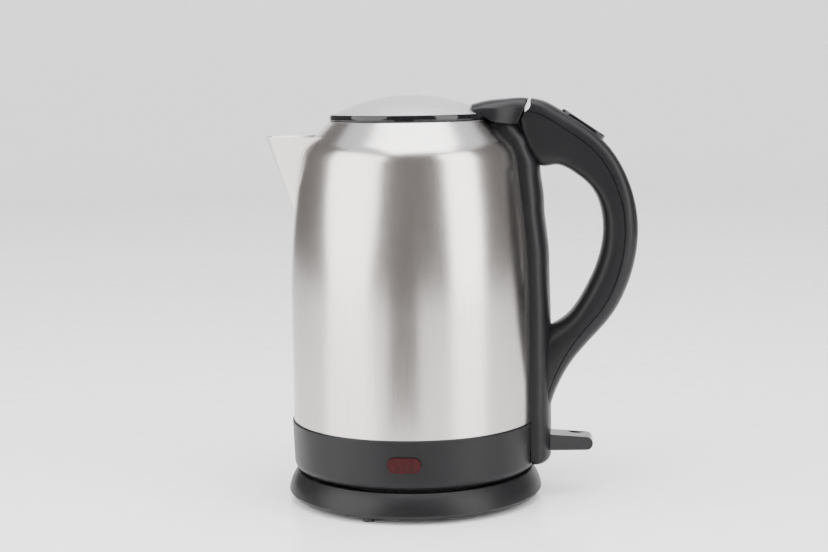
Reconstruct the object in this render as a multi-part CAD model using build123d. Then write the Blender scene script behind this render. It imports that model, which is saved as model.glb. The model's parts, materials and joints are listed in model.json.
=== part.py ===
from build123d import *
import os
from math import asin, atan2, cos, degrees, radians, sin, sqrt, tan

# Cordless electric kettle on a round power base. Millimetres, +Z up.
# The origin is on the table, in the middle of the base. The handle points to +X,
# the spout to -X and the indicator window to -Y.

os.makedirs("parts", exist_ok=True)

# ---------------------------------------------------------------- driving sizes
# power base
base_radius = 77.0
base_rim_height = 17.4
base_deck_height = 14.0
base_wall = 2.2
base_lift = 3.0               # height of the feet and of the centre pad
plate_thickness = 1.6
foot_radius = 3.3
foot_count = 3
pad_radius = 9.0
plug_radius = 19.0            # raised connector of the base
plug_height = 15.0            # above the deck
plug_bore = 5.0
slot_inner = 9.4
slot_outer = 13.0
cord_bore = 3.4
bush_wall = 1.0
clamp_width = 20.0

# kettle
body_radius = 73.3
steel = 0.8                   # thickness of the vessel's wall
mouth_height = 227.0
mouth_radius = 48.8
crown_height = 110.0          # from the start of the wall's curve to the mouth
crown_curve = 510.0           # radius of the long curve of the wall
shoulder_curve = 20.0         # radius where the wall turns in to the mouth
shoulder_slope = 45.0
skirt_top = 48.5
skirt_bottom = 18.4
skirt_proud = 0.9             # how far the collar stands out from the steel
skirt_draft = 0.8             # how much narrower the collar is lower down
skirt_wall = 2.4
skirt_curve = 5.5
neck_inset = 3.2              # how far the steel steps in behind the collar
neck_depth = 7.5
floor_thickness = 1.0
spreader_radius = 60.0
spreader_thickness = 3.0
heater_radius = 45.0
heater_width = 7.0
heater_height = 5.0
control_radius = 27.0
shroud_wall = 2.0
cover_thickness = 2.0

# indicator
window_length = 19.4
window_height = 9.0
window_z = 34.3

# lid
rim_height = 4.3
rim_width = 5.0
dome_rise = 15.4              # top of the dome above the rim's foot
lid_wall = 1.2
drum_depth = 9.0
drum_wall = 1.6
hinge_x = 66.35
hinge_rise = 9.6              # hinge line above the mouth
knuckle_radius = 3.3
tail_half = 21.0              # half-width of the tail at the rim
tail_half_rear = 15.5

# spout
spout_reach = 14.0            # tip beyond the wall's greatest radius
spout_drop = 8.6              # rim below the mouth
spout_root = 60.0             # root below the mouth
spout_half = 26.0
spout_nose = 6.0              # rounding of the front edge in plan

# handle
grip_reach = 61.6             # outside of the grip beyond the body
grip_depth = 20.8
grip_half = 14.0
strip_half = 20.0             # half-width of the strip along the body
strip_depth = 8.6             # how far the strip stands out from the body
cover_depth = 8.0             # thickness of the outer cover of the grip
handle_wall = 2.4
edge_round = 7.0

# button, latch and lever
button_length = 30.0
button_width = 14.0
button_thickness = 4.0
bolt_travel = 2.5
lever_length = 30.0
lever_height = 9.4
lever_half = 8.0

# clearances
slip = 0.3                    # between pieces that move past each other
seam = 0.15                   # between pieces that are fixed together
pin_play = 0.05               # radial play of a pin in its bore
gap_line = 0.7                # open line round the lid's tail
button_gap = 0.6              # round the button, which swings

# small hardware
screw_radius = 1.3
boss_radius = 3.4
pin_radius = 1.5
tail_wall = 1.1
hinge_pin_radius = 0.9
ear_radius = 1.9
button_pin_radius = 1.2
button_hub_radius = 2.4
button_pivot = -11.0          # along the button, towards the lid
button_drop = 4.6             # pivot below the grip's outer line
button_proud = 1.4
button_depth = 5.6            # of its opening
button_place = 0.143          # share of the grip's outer line
bolt_half = 3.5
bolt_height = 2.4
bolt_length = 14.5
hub_radius = 4.4
bracket_half = 6.5
ear_place = 8.5               # ears of the hinge, to each side of the middle
ear_thickness = 2.4
tail_rear_lean = 25.5         # degrees, the open line behind the tail
tail_rear_length = 10.3
heater_gap = 10.0
filter_half = 20.0
flange_thickness = 2.0
steam_hole_radius = 3.5
steam_y = 10.5

# ---------------------------------------------------------------- derived sizes
plate_top = base_lift + plate_thickness
plate_radius = base_radius - 1.8 - base_wall - seam
deck_under = base_deck_height - base_wall
base_rim_radius = base_radius - 5.4
foot_circle = base_radius - 7.5
foot_start = -108.0
base_screw_circle = base_radius - 29.0
base_screw_start = foot_start + 60.0
bush_radius = cord_bore + bush_wall
cord_z = deck_under - cord_bore - 0.2
gland_in = base_radius - 10.0
gland_out = base_radius - 0.8
clamp_top = deck_under - 1.8
clamp_places = [(-7.0, base_radius - 21.0), (7.0, base_radius - 21.0)]
plug_top = base_deck_height + plug_height
plug_screw_circle = plug_radius + 3.5
flange_radius = plug_radius + 7.0
slot_floor = plug_top - 13.0
shroud_inner = plug_radius + 2 * slip
shroud_outer = shroud_inner + shroud_wall
shroud_roof = plug_top + 2 * slip + shroud_wall
control_roof = shroud_roof + 2 * slip + 2.0
seat_z = base_deck_height + slip

skirt_radius = body_radius + skirt_proud
foot_low = skirt_bottom + 3.6
strip_back = mouth_radius - 8.0
neck_radius = body_radius - neck_inset
vessel_floor = skirt_top - neck_depth
curve_start = mouth_height - crown_height
spreader_z = vessel_floor - spreader_thickness
cover_radius = skirt_radius - 7.4
ledge_inner = skirt_radius - 14.7
bottom_screw_circle = skirt_radius - 11.2
bottom_screw_start = 90.0
seat_radius = skirt_radius - 17.2
lamp_floor = skirt_bottom + cover_thickness + seam + 2.6

rim_radius = mouth_radius - 0.3
rim_low = mouth_height + 0.3
rim_top = mouth_height + rim_height
drum_radius = mouth_radius - 3.4
lid_screw_circle = drum_radius - drum_wall - 2.4
hinge_z = mouth_height + hinge_rise
bolt_z = mouth_height + 1.4
striker_x = (hinge_x + knuckle_radius / cos(radians(tail_rear_lean))
             - (hinge_z - bolt_z + 2.0) * tan(radians(tail_rear_lean)) - 0.1)
filter_low = mouth_height - 54.0
filter_high = mouth_height - 15.0
spout_top = mouth_height - spout_drop
spout_tip = -(body_radius + spout_reach)
steam_hole_z = mouth_height - 21.0
steam_start = body_radius - 6.0
channel_low = skirt_bottom + 22.6
channel_high = mouth_height - 14.0
lever_x = body_radius + 5.9
lever_z = skirt_bottom + 14.6
post_x = body_radius + 12.7
bracket_top_z = mouth_height - 28.0
bracket_low_z = skirt_top + 31.5
bracket_reach = {bracket_top_z: 0.0, bracket_low_z: 6.4}
bracket_screw_places = [(body_radius - 3.3, y, bracket_top_z) for y in (-4.5, 4.5)]
bracket_screw_places += [(body_radius + 3.2, y, bracket_low_z) for y in (-4.5, 4.5)]
grip_x = body_radius + grip_reach


# ---------------------------------------------------------------- helpers
def disc(radius, low, high, x=0.0, y=0.0):
    """Upright cylinder from one height to another."""
    return Pos(x, y, (low + high) / 2) * Cylinder(radius, high - low)


def ring(outer, inner, low, high, x=0.0, y=0.0):
    """Upright tube from one height to another."""
    return disc(outer, low, high, x, y) - disc(inner, low - 1, high + 1, x, y)


def block(x0, x1, y0, y1, z0, z1):
    """Box between two corners."""
    return Pos((x0 + x1) / 2, (y0 + y1) / 2, (z0 + z1) / 2) * Box(x1 - x0, y1 - y0, z1 - z0)


def rod(radius, x, z, half, y=0.0):
    """Cylinder along Y, centred on y."""
    return Pos(x, y, z) * Rot(90, 0, 0) * Cylinder(radius, 2 * half)


def bar(radius, x0, x1, z, y=0.0):
    """Cylinder along X."""
    return Pos((x0 + x1) / 2, y, z) * Rot(0, 90, 0) * Cylinder(radius, x1 - x0)


def turned(points):
    """Body of revolution from an outline of (radius, height) corners."""
    outline = Polyline(*points, close=True)
    return revolve(Plane.XZ * make_face(outline), Axis.Z)


def around(count, radius, start=90.0):
    """Places evenly spaced round the upright axis."""
    steps = [radians(start + 360.0 * i / count) for i in range(count)]
    return [(radius * cos(a), radius * sin(a)) for a in steps]


def joined(solids):
    """Several solids of one node."""
    return Compound(children=[s for group in solids for s in group.solids()])


def save(name, shape):
    """One file for one piece, or for one group of like pieces."""
    export_step(shape, f"parts/{name}.step")


# ---------------------------------------------------------------- vessel wall
def wall_angle():
    """Lean in degrees at which the long curve hands over to the shoulder.

    The straight slope to the mouth has to pass through the mouth's edge, which gives one
    equation for the angle.
    """
    c = cos(radians(shoulder_slope))
    start = body_radius + curve_start - crown_curve
    k = (mouth_radius + mouth_height - start - 2 * c * shoulder_curve) / (crown_curve - shoulder_curve)
    return degrees(asin(k / sqrt(2))) - 45.0


def wall_points(inset):
    """Ends and middles of the wall's two arcs, moved inwards by inset."""
    lean = radians(wall_angle())
    slope = radians(shoulder_slope)
    cx = body_radius - crown_curve
    big = crown_curve - inset
    small = shoulder_curve - inset
    sx = cx + (crown_curve - shoulder_curve) * cos(lean)
    sz = curve_start + (crown_curve - shoulder_curve) * sin(lean)
    mid = (lean + slope) / 2
    return {
        "start": (cx + big, curve_start),
        "long": (cx + big * cos(lean / 2), curve_start + big * sin(lean / 2)),
        "bend": (cx + big * cos(lean), curve_start + big * sin(lean)),
        "turn": (sx + small * cos(mid), sz + small * sin(mid)),
        "top": (sx + small * cos(slope), sz + small * sin(slope)),
    }


def wall_radius(z, inset=0.0):
    """Radius of the vessel at a height, moved inwards by inset."""
    p = wall_points(inset)
    if z <= curve_start:
        return body_radius - inset
    if z <= p["bend"][1]:
        big = crown_curve - inset
        return body_radius - crown_curve + sqrt(big ** 2 - (z - curve_start) ** 2)
    if z <= p["top"][1]:
        lean = radians(wall_angle())
        sx = body_radius - crown_curve + (crown_curve - shoulder_curve) * cos(lean)
        sz = curve_start + (crown_curve - shoulder_curve) * sin(lean)
        return sx + sqrt((shoulder_curve - inset) ** 2 - (z - sz) ** 2)
    return p["top"][0] - (z - p["top"][1])


def vessel_solid(inset, low, high=mouth_height):
    """Solid of revolution inside the wall line, between two heights."""
    p = wall_points(inset)
    edge = p["top"][0] - (high - p["top"][1])
    outline = Polyline((0, high), (0, low), (body_radius - inset, low), p["start"])
    outline += ThreePointArc(p["start"], p["long"], p["bend"])
    outline += ThreePointArc(p["bend"], p["turn"], p["top"])
    outline += Polyline(p["top"], (edge, high), (0, high))
    return revolve(Plane.XZ * make_face(outline), Axis.Z)


def body_shell():
    """Steel wall: a stepped neck at the foot, an open mouth, a window behind the spout."""
    wall = vessel_solid(0, skirt_top) - vessel_solid(steel, skirt_top + steel)
    step = ring(body_radius - steel, neck_radius - steel, skirt_top, skirt_top + steel)
    neck = ring(neck_radius, neck_radius - steel, vessel_floor, skirt_top + steel)
    hole = disc(neck_radius - steel, vessel_floor - 1, skirt_top + 2 * steel)
    shell = wall - hole + step + neck
    shell -= spout_wedge(3 * steel, spout_top - 6.0)
    shell -= bar(steam_hole_radius + seam, 0, body_radius, steam_hole_z, steam_y)
    return shell


# ---------------------------------------------------------------- spout
def spout_section(inset, z):
    """Rounded V in plan at a height: it shrinks to the root, and is moved inwards by inset."""
    share = (z - (mouth_height - spout_root)) / (spout_root - spout_drop)
    back = -(mouth_radius - 3.0)
    root_x = -(body_radius - 3.8)
    tip = root_x + (spout_tip - root_x) * share + inset
    half = 3.0 + (spout_half - 3.0) * share - inset
    nose = 0.6 + (spout_nose - 0.6) * share
    opening = atan2(half, back - tip)
    corner = tip - nose * (1 / sin(opening) - 1)
    shoulder = (back, half)
    lower = (back, -half)
    outline = FilletPolyline(shoulder, (corner, 0), lower, radius=nose)
    outline += Line(lower, shoulder)
    return Pos(0, 0, z) * make_face(outline)


def spout_wedge(inset, high):
    """Solid of the spout's outer form, or of its channel, up to a height."""
    low = mouth_height - spout_root + 4.0 * inset
    return loft([spout_section(inset, low), spout_section(inset, high)])


def spout():
    """Open channel of sheet steel that butts against the wall."""
    channel = spout_wedge(0, spout_top) - spout_wedge(steel, spout_top + 0.01)
    return channel - vessel_solid(0, skirt_top)


# ---------------------------------------------------------------- base
def base_side(inset):
    """Curved side of the base cover, moved inwards by inset: foot, bulge, arc and its end."""
    foot = (base_radius - 1.8 - inset, base_lift)
    bulge = (base_radius - inset, base_lift + 2.4)
    top = (base_rim_radius - inset * 0.4, base_rim_height)
    middle = ((bulge[0] + top[0]) / 2 + 0.9, (bulge[1] + top[1]) / 2)
    return foot, bulge, middle, top


def base_skin():
    """Outer form of the base cover, with its raised rim and its sunk deck."""
    foot, bulge, middle, top = base_side(0)
    rim = top[0] - 3.0
    outline = Polyline((0, base_lift), foot, bulge)
    outline += ThreePointArc(bulge, middle, top)
    outline += Polyline(top, (rim, top[1]), (rim - 2.0, base_deck_height), (0, base_deck_height), (0, base_lift))
    return revolve(Plane.XZ * make_face(outline), Axis.Z)


def base_cavity():
    """Room under the deck and inside the curved side."""
    foot, bulge, middle, top = base_side(base_wall)
    outline = Polyline((0, base_lift), foot, bulge)
    outline += ThreePointArc(bulge, middle, top)
    outline += Polyline(top, (0, top[1]), (0, base_lift))
    return revolve(Plane.XZ * make_face(outline), Axis.Z) & disc(base_radius, base_lift, deck_under)


def cord_hole(radius):
    """Hole for the outlet bush through the rear of the base."""
    return Pos(0, gland_in + 10, cord_z) * Rot(90, 0, 0) * Cylinder(radius, 20)


def base_cover():
    """Moulded cover: hollow rim, deck with the connector hole, screw bosses, cord hole."""
    cover = base_skin() - base_cavity()
    for x, y in around(3, base_screw_circle, base_screw_start):
        cover += disc(boss_radius, plate_top, deck_under, x, y)
        cover -= disc(screw_radius, plate_top - 1, deck_under, x, y)
    for x, y in clamp_places:
        cover += disc(boss_radius, clamp_top, deck_under, x, y)
        cover -= disc(screw_radius, clamp_top - 1, deck_under, x, y)
    for x, y in around(3, plug_screw_circle, 30):
        cover -= disc(screw_radius, deck_under - 1, deck_under + base_wall * 0.75, x, y)
    cover -= disc(plug_radius + seam, base_lift, base_deck_height + 1)
    return cover - cord_hole(bush_radius)


def base_bottom_plate():
    """Flat plate inside the cover's foot, with holes for the screws and the feet."""
    plate = disc(plate_radius, base_lift, plate_top)
    for x, y in around(3, base_screw_circle, base_screw_start):
        plate -= disc(screw_radius + pin_play, 0, plate_top + 1, x, y)
    for x, y in around(foot_count, foot_circle, foot_start):
        plate -= disc(foot_radius * 0.5, 0, plate_top + 1, x, y)
    return plate - cord_hole(bush_radius + pin_play)


def base_feet():
    """Rubber feet whose stems plug into the bottom plate."""
    feet = []
    for x, y in around(foot_count, foot_circle, foot_start):
        feet.append(disc(foot_radius, 0, base_lift, x, y) + disc(foot_radius * 0.5, 0, plate_top, x, y))
    return joined(feet)


def base_connector():
    """Raised connector: flange under the deck, centre bore and ring slot."""
    body = disc(plug_radius, deck_under - flange_thickness, plug_top)
    body = chamfer(body.edges().group_by(Axis.Z)[-1], 1.2)
    body += disc(flange_radius, deck_under - flange_thickness, deck_under)
    body -= disc(plug_bore, slot_floor, plug_top + 1)
    body -= ring(slot_outer, slot_inner, slot_floor, plug_top + 1)
    for x, y in around(3, plug_screw_circle, 30):
        body -= disc(screw_radius + pin_play, 0, deck_under + 1, x, y)
    return body


def base_contacts():
    """Brass leaves that stand on the floors of the bore and of the slot."""
    leaf = 0.4
    centre = block(plug_bore - 0.3 - leaf, plug_bore - 0.3, -1.5, 1.5, slot_floor, plug_top - 3)
    x = slot_outer - 0.3
    near = block(x - leaf, x, -2, 2, slot_floor, plug_top - 3)
    far = block(-x, -x + leaf, -2, 2, slot_floor, plug_top - 3)
    return joined([centre, near, far])


def screws(places, head_low, head, shank_top, radius=None):
    """Group of like screws that point up."""
    shank = radius or screw_radius
    group = []
    for x, y in places:
        pan = disc(shank * 2.1, head_low, head_low + head, x, y)
        slot = block(x - shank * 1.5, x + shank * 1.5, y - 0.3, y + 0.3, head_low - 1, head_low + 0.5)
        group.append(pan - slot + disc(shank, head_low + head, shank_top, x, y))
    return joined(group)


def cord_gland():
    """Outlet bush of the mains cord, through the rear of the base cover."""
    middle = (gland_in + gland_out) / 2
    tube = Cylinder(bush_radius, gland_out - gland_in) - Cylinder(cord_bore, gland_out)
    return Pos(0, middle, cord_z) * Rot(90, 0, 0) * tube


def cord_clamp():
    """Bar that would press the cord against the cover, on two screws."""
    y = clamp_places[0][1]
    bar_solid = block(-clamp_width / 2, clamp_width / 2, y - 3, y + 3, clamp_top - 2.2, clamp_top)
    for x, yy in clamp_places:
        bar_solid -= disc(screw_radius + pin_play, 0, clamp_top + 1, x, yy)
    return bar_solid


# ---------------------------------------------------------------- socket
def connector_shroud():
    """Round socket that drops over the base connector."""
    cup = ring(shroud_outer, shroud_inner, base_deck_height + 2.0, shroud_roof)
    return cup + disc(shroud_outer, shroud_roof - shroud_wall, shroud_roof)


def socket_contacts():
    """Centre pin and ring contact that hang from the socket's roof."""
    roof = shroud_roof - shroud_wall
    pin = disc(plug_bore - 1.1, slot_floor + 1, roof)
    mid = (slot_inner + slot_outer) / 2
    return joined([pin, ring(mid + 0.5, mid - 0.7, slot_floor + 3, roof)])


# ---------------------------------------------------------------- underside of the kettle
def kettle_control():
    """Control housing: a cup round the socket, on three posts under the spreader."""
    low = skirt_bottom + seam
    wall = ring(control_radius, shroud_outer + 2 * slip, low, control_roof)
    body = wall + disc(control_radius, shroud_roof + 2 * slip, control_roof)
    for x, y in around(3, control_radius + 3, 30):
        body += disc(4.0, control_roof - 2, spreader_z, x, y)
        body -= disc(screw_radius + pin_play, low, spreader_z + 1, x, y)
    for x in (-12.0, 12.0):
        body += disc(4.0, control_roof, spreader_z - 1.4, x)
    return body - disc(shroud_outer + 2 * slip, low - 1, shroud_roof + 2 * slip)


def bimetal_discs():
    """Snap discs that sit on the control's two pads."""
    return joined([disc(9.0, spreader_z - 1.4, spreader_z - 0.8, x) for x in (-12.0, 12.0)])


def heat_spreader():
    """Aluminium disc under the floor, with blind holes for the control's screws."""
    plate = disc(spreader_radius, spreader_z, vessel_floor)
    for x, y in around(3, control_radius + 3, 30):
        plate -= disc(screw_radius, spreader_z - 1, spreader_z + 2, x, y)
    return plate


def heating_element():
    """Sheathed heater, a ring with a gap for its two cold ends."""
    outer = heater_radius + heater_width / 2
    loop = ring(outer, outer - heater_width, spreader_z - heater_height, spreader_z)
    return loop - block(-outer - 1, 0, -heater_gap, heater_gap, 0, spreader_z + 1)


def element_terminals():
    """Cold ends of the heater, which point down."""
    y = heater_gap + 3
    x = -sqrt(heater_radius ** 2 - y ** 2)
    low = spreader_z - heater_height
    return joined([disc(2.2, low - 7, low, x, side * y) for side in (-1, 1)])


def bottom_cover():
    """Underside of the kettle, with the ring on which it stands."""
    cover = ring(cover_radius, control_radius + seam, skirt_bottom, skirt_bottom + cover_thickness)
    cover += ring(seat_radius, seat_radius - 4, seat_z, skirt_bottom + 0.5)
    for x, y in around(3, bottom_screw_circle, bottom_screw_start):
        cover -= disc(screw_radius + pin_play, 0, skirt_bottom + 5, x, y)
    return cover


def window_face(grow):
    """Oval of the indicator window, grown by a margin."""
    return Pos(0, window_z) * SlotOverall(window_length + 2 * grow, window_height + 2 * grow)


def window_prism(grow, outer, inner):
    """Oval prism through the front of the collar between two radii."""
    bored = extrude(Plane.XZ * window_face(grow), amount=body_radius + 20)
    return bored & ring(outer, inner, window_z - 12, window_z + 12)


def skirt():
    """Collar under the steel wall, with an inner ledge, screw bosses and the window."""
    r = skirt_radius
    low = skirt_bottom
    curve = skirt_curve
    foot = r - skirt_draft - curve
    bend = curve * (1 - cos(radians(45)))
    ledge_low = low + cover_thickness + seam
    ledge_top = ledge_low + 2.6
    inner = r - skirt_wall
    outline = Polyline((cover_radius + seam, low), (foot, low))
    outline += ThreePointArc((foot, low), (foot + curve - bend, low + bend), (foot + curve, low + curve))
    outline += Polyline(
        (foot + curve, low + curve),
        (r, skirt_top - 0.8),
        (r - 0.5, skirt_top),
        (neck_radius + seam, skirt_top),
        (neck_radius + seam, vessel_floor + 2.5),
        (inner, vessel_floor + 1.0),
        (inner - skirt_draft, ledge_top),
        (ledge_inner, ledge_top),
        (ledge_inner, ledge_low),
        (cover_radius + seam, ledge_low),
        (cover_radius + seam, low),
    )
    collar = revolve(Plane.XZ * make_face(outline), Axis.Z)
    for x, y in around(3, bottom_screw_circle, bottom_screw_start):
        collar += disc(boss_radius, ledge_low, ledge_top + 5, x, y)
        collar -= disc(screw_radius, ledge_low - 1, ledge_top + 4, x, y)
    collar -= window_prism(seam, r + 5, r - 10)
    collar -= window_prism(1.0, r + 5, r - 0.5)
    return collar


def indicator_lens():
    """Oval window, curved like the collar, with a flange behind it."""
    return window_prism(0, skirt_radius + 0.3, skirt_radius - skirt_wall - skirt_draft)


def lamp_holder():
    """Bracket on the collar's ledge with two cheeks for the lamp."""
    out = -(skirt_radius - 5.4)
    floor = lamp_floor
    base = block(-9, 9, out, out + 8, floor, floor + 1.6)
    cheeks = [block(s * 8 - 1, s * 8 + 1, out, out + 8, floor, window_z + 3.6) for s in (-1, 1)]
    return base + cheeks[0] + cheeks[1]


def indicator_lamp():
    """Neon lamp between the bracket's cheeks."""
    return bar(2.6, -7, 7, window_z, -(skirt_radius - 9.4))


# ---------------------------------------------------------------- filter behind the spout
def wall_skin(near, far, half, low, high):
    """Piece of a skin that follows the inside of the wall behind the spout."""
    skin = vessel_solid(near, skirt_top) - vessel_solid(far, skirt_top)
    return skin & block(-body_radius, -mouth_radius / 2, -half, half, low, high)


def filter_frame():
    """Curved frame close to the wall, open in the middle."""
    frame = wall_skin(steel + slip, steel + slip + 2.4, filter_half, filter_low, filter_high)
    return frame - block(-body_radius, 0, -filter_half + 3, filter_half - 3, filter_low + 3, filter_high - 3)


def filter_mesh():
    """Steel mesh in the frame's opening."""
    middle = steel + slip + 1.0
    return wall_skin(middle, middle + 0.5, filter_half - 3, filter_low + 3, filter_high - 3)


# ---------------------------------------------------------------- lid
def tail_profile(inset):
    """Side view of the lid's hinge cover, moved inwards by inset.

    The rear follows a line that touches the knuckle's circle, so it turns away from the
    handle when the lid opens.
    """
    r = knuckle_radius - inset
    a = radians(tail_rear_lean)
    touch = (hinge_x + r * cos(a), hinge_z - r * sin(a))
    run = tail_rear_length
    rear_low = (touch[0] - run * sin(a), touch[1] - run * cos(a))
    front_low = (rim_radius - 4.0 + inset, mouth_height + 2.0 + inset * 0.4)
    front_high = (rim_radius - 11.5 + inset, mouth_height + 9.9 - inset)
    crown = (hinge_x - 11.0, hinge_z + r - 0.2)
    top = (hinge_x, hinge_z + r)
    turn = (hinge_x + r * cos(radians(35)), hinge_z + r * sin(radians(35)))
    seat = (rim_radius + 0.6, mouth_height - 1.2)
    outline = Spline(front_high, crown, top, tangents=((1, 0.18), (1, 0)))
    outline += ThreePointArc(top, turn, touch)
    outline += Polyline(touch, rear_low, (rear_low[0] - 2.5, rear_low[1] - 1.4), seat, front_low, front_high)
    return make_face(outline)


def tail_solid(inset):
    """Tail in the round: its side view, narrowed in plan towards the rear."""
    half = tail_half - inset
    rear = tail_half_rear - inset
    plan = Polyline((20, -half), (rim_radius, -half), (hinge_x + 10, -rear), (hinge_x + 10, rear),
                    (rim_radius, half), (20, half), close=True)
    slab = Pos(0, 0, mouth_height - 20) * extrude(make_face(plan), amount=60)
    return side_solid(tail_profile(inset), tail_half + 5) & slab


def lid_tail():
    """Hollow cover over the hinge, with knuckles for the pin and slots for the two ears."""
    body = tail_solid(0)
    cavity = tail_solid(tail_wall) & block(rim_radius + 2.5, hinge_x + 10, -40, 40, 0, hinge_z + 20)
    body -= cavity
    for side in (-1, 1):
        y = side * (ear_place + ear_thickness / 2 + slip + 1.5)
        body += rod(knuckle_radius - tail_wall * 0.5, hinge_x, hinge_z, 1.5, y)
        slot = ear_thickness / 2 + slip
        e = side * ear_place
        body -= block(hinge_x - 3.6 - slip, hinge_x + 10, e - slot, e + slot, 0, hinge_z + ear_radius + slip)
    body -= rod(pin_radius + pin_play, hinge_x, hinge_z, 13.0)
    striker = block(striker_x - 1.2, striker_x + 20, -4, 4, bolt_z - 2, bolt_z + 2)
    return body - vessel_solid(-0.5, skirt_top, mouth_height) - disc(rim_radius + seam, 0, rim_top) - striker


def lid_rim():
    """Black ring round the lid, with a ledge for the dome."""
    r = rim_radius
    z = rim_low
    points = [(r - rim_width, z), (r, z), (r, rim_top - 0.5), (r - 0.5, rim_top),
              (r - 1.2, rim_top), (r - 1.2, rim_top - 1.0), (r - rim_width, rim_top - 1.0)]
    rim = turned(points + [points[0]])
    for x, y in around(3, lid_screw_circle, 60):
        rim += disc(boss_radius, z, z + 2.6, x, y)
        rim -= disc(screw_radius, z - 1, z + 2.2, x, y)
    return rim


def lid_cap():
    """Domed steel cap, cut away along the front of the tail."""
    edge = rim_radius - 1.2 - seam
    rise = dome_rise - rim_height + 1.0
    radius = (edge ** 2 + rise ** 2) / (2 * rise)
    centre = rim_top - 1.0 + rise - radius
    dome = Pos(0, 0, centre) * (Sphere(radius) - Sphere(radius - lid_wall))
    dome &= disc(edge, rim_top - 1.0, rim_top + dome_rise)
    keep = tail_profile(-seam)
    return dome - side_solid(keep, tail_half + seam)


def lid_inner():
    """Drum under the rim that closes the mouth."""
    r = drum_radius
    low = mouth_height - drum_depth
    drum = disc(r, low, rim_low) - disc(r - drum_wall, low + drum_wall, rim_low + 1)
    for x, y in around(3, lid_screw_circle, 60):
        drum += disc(boss_radius, low, rim_low, x, y)
        drum -= disc(screw_radius + pin_play, low - 1, rim_low + 1, x, y)
    return drum


def lid_gasket():
    """Silicone ring under the rim."""
    outline = [(drum_radius, rim_low), (drum_radius, rim_low - 2.0), (drum_radius + 1.2, rim_low - 2.0),
               (drum_radius + 1.6, rim_low - 1.0), (drum_radius + 1.2, rim_low), (drum_radius, rim_low)]
    return turned(outline)


def lid_striker():
    """Steel plate in the tail's rear wall that the bolt faces."""
    return block(striker_x - 1.2, striker_x, -4 + seam, 4 - seam, bolt_z - 2 + seam, bolt_z + 2 - seam)


# ---------------------------------------------------------------- handle
def side_solid(face, half):
    """Solid of a side view, half to each side of the middle plane."""
    return extrude(Plane.XZ.offset(half) * face, amount=-2 * half)


def outer_line():
    """Outer line of the grip, from the lid's tail round to where it meets the strip."""
    b = body_radius
    m = mouth_height
    s = skirt_top
    return Spline(
        (b - 1.2, m + 12.6), (b + 7.4, m + 10.4), (b + 16.5, m + 5.0), (b + 31.5, m - 4.6),
        (b + 46.6, m - 19.2), (b + 57.4, m - 40.6), (b + grip_reach, m - 67.0),
        (b + 58.7, s + 90.2), (b + 47.7, s + 64.2), (b + 32.0, s + 45.5),
        (b + 18.9, s + 28.5), (b + 11.5, s + 12.8), (b + strip_depth, s - 6.0),
    )


def inner_line():
    """Inner line of the grip, from inside the strip at the top to inside it at the foot."""
    b = body_radius
    m = mouth_height
    s = skirt_top
    return Spline(
        (b + 1.5, m - 27.2), (b + 11.0, m - 26.4), (b + 22.5, m - 30.4), (b + 36.0, m - 43.4),
        (b + grip_reach - grip_depth, m - 67.0), (b + 39.6, s + 102.8), (b + 32.0, s + 82.3),
        (b + 22.1, s + 63.9), (b + 13.5, s + 57.0), (b + 3.0, s + 52.0),
    )


def shifted(line, other, distance, count=13):
    """Line moved by a distance towards another line, point by point."""
    points = []
    for i in range(count):
        here = line @ (i / (count - 1))
        there = other @ (i / (count - 1))
        spot = here + (there - here).normalized() * distance
        points.append((spot.X, spot.Y))
    return Spline(*points)


def grip_solid(inset=0.0):
    """Grip with rounded edges along its outside and its inside, moved inwards by inset."""
    outer = outer_line()
    inner = inner_line()
    if inset > 0:
        outer, inner = shifted(outer, inner, inset), shifted(inner, outer, inset)
    back = body_radius + 2.0 + inset
    closing = Polyline(outer @ 1, (back, (outer @ 1).Y), (back, (inner @ 1).Y), inner @ 1)
    face = make_face(outer + closing + inner + Line(inner @ 0, outer @ 0))
    solid = side_solid(face, grip_half - inset)
    rims = [e for e in solid.edges() if e.length > grip_reach and abs(e.center().Y) > 1]
    return fillet(rims, edge_round - inset)


def strip_solid(inset=0.0):
    """Strip along the body: a leaning side view cut to a front view that narrows to the hinge."""
    b = body_radius - inset
    m = mouth_height
    s = skirt_top
    low = foot_low - 1.0
    front = Spline(
        (b + strip_depth + 1.2, low), (b + strip_depth + 1.3, s + 58.0), (b + strip_depth + 0.5, s + 95.5),
        (b + strip_depth - 2.5, m - 48.0), (b + strip_depth - 5.2, m - 30.0), (b + strip_depth - 9.0, m + 14.0),
    )
    side = make_face(front + Polyline(front @ 1, (strip_back, m + 14.0), (strip_back, low), front @ 0))
    solid = side_solid(side, strip_half - inset)
    rims = [e for e in solid.edges() if e.length > 120 and e.center().X > body_radius]
    solid = fillet(rims, edge_round - inset)
    slim = tail_half_rear - inset
    wide = strip_half - inset
    for way in (-1, 1):
        wedge = Polyline((way * wide, m - 48), (way * slim, m - 8), (way * slim, m + 30), (way * (wide + 9), m + 30),
                         (way * (wide + 9), m - 48), close=True)
        solid -= extrude(Plane.YZ * make_face(wedge), amount=grip_x)
    return solid


def lid_space(gap):
    """Space kept for the tail: everything above a line that runs a gap away from it."""
    a = radians(tail_rear_lean)
    reach = knuckle_radius + gap
    rise = 30.0
    top = (hinge_x + reach * cos(a) + rise * sin(a), hinge_z - reach * sin(a) + rise * cos(a))
    run = rise + tail_rear_length + gap
    low = (top[0] - run * sin(a), top[1] - run * cos(a))
    front = (rim_radius + 0.6, mouth_height - 1.2 - gap)
    outline = Polyline(top, low, (low[0] - 2.5, low[1] - 1.4), front, (0, front[1]), (0, top[1]), close=True)
    return side_solid(make_face(outline), 60)


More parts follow.
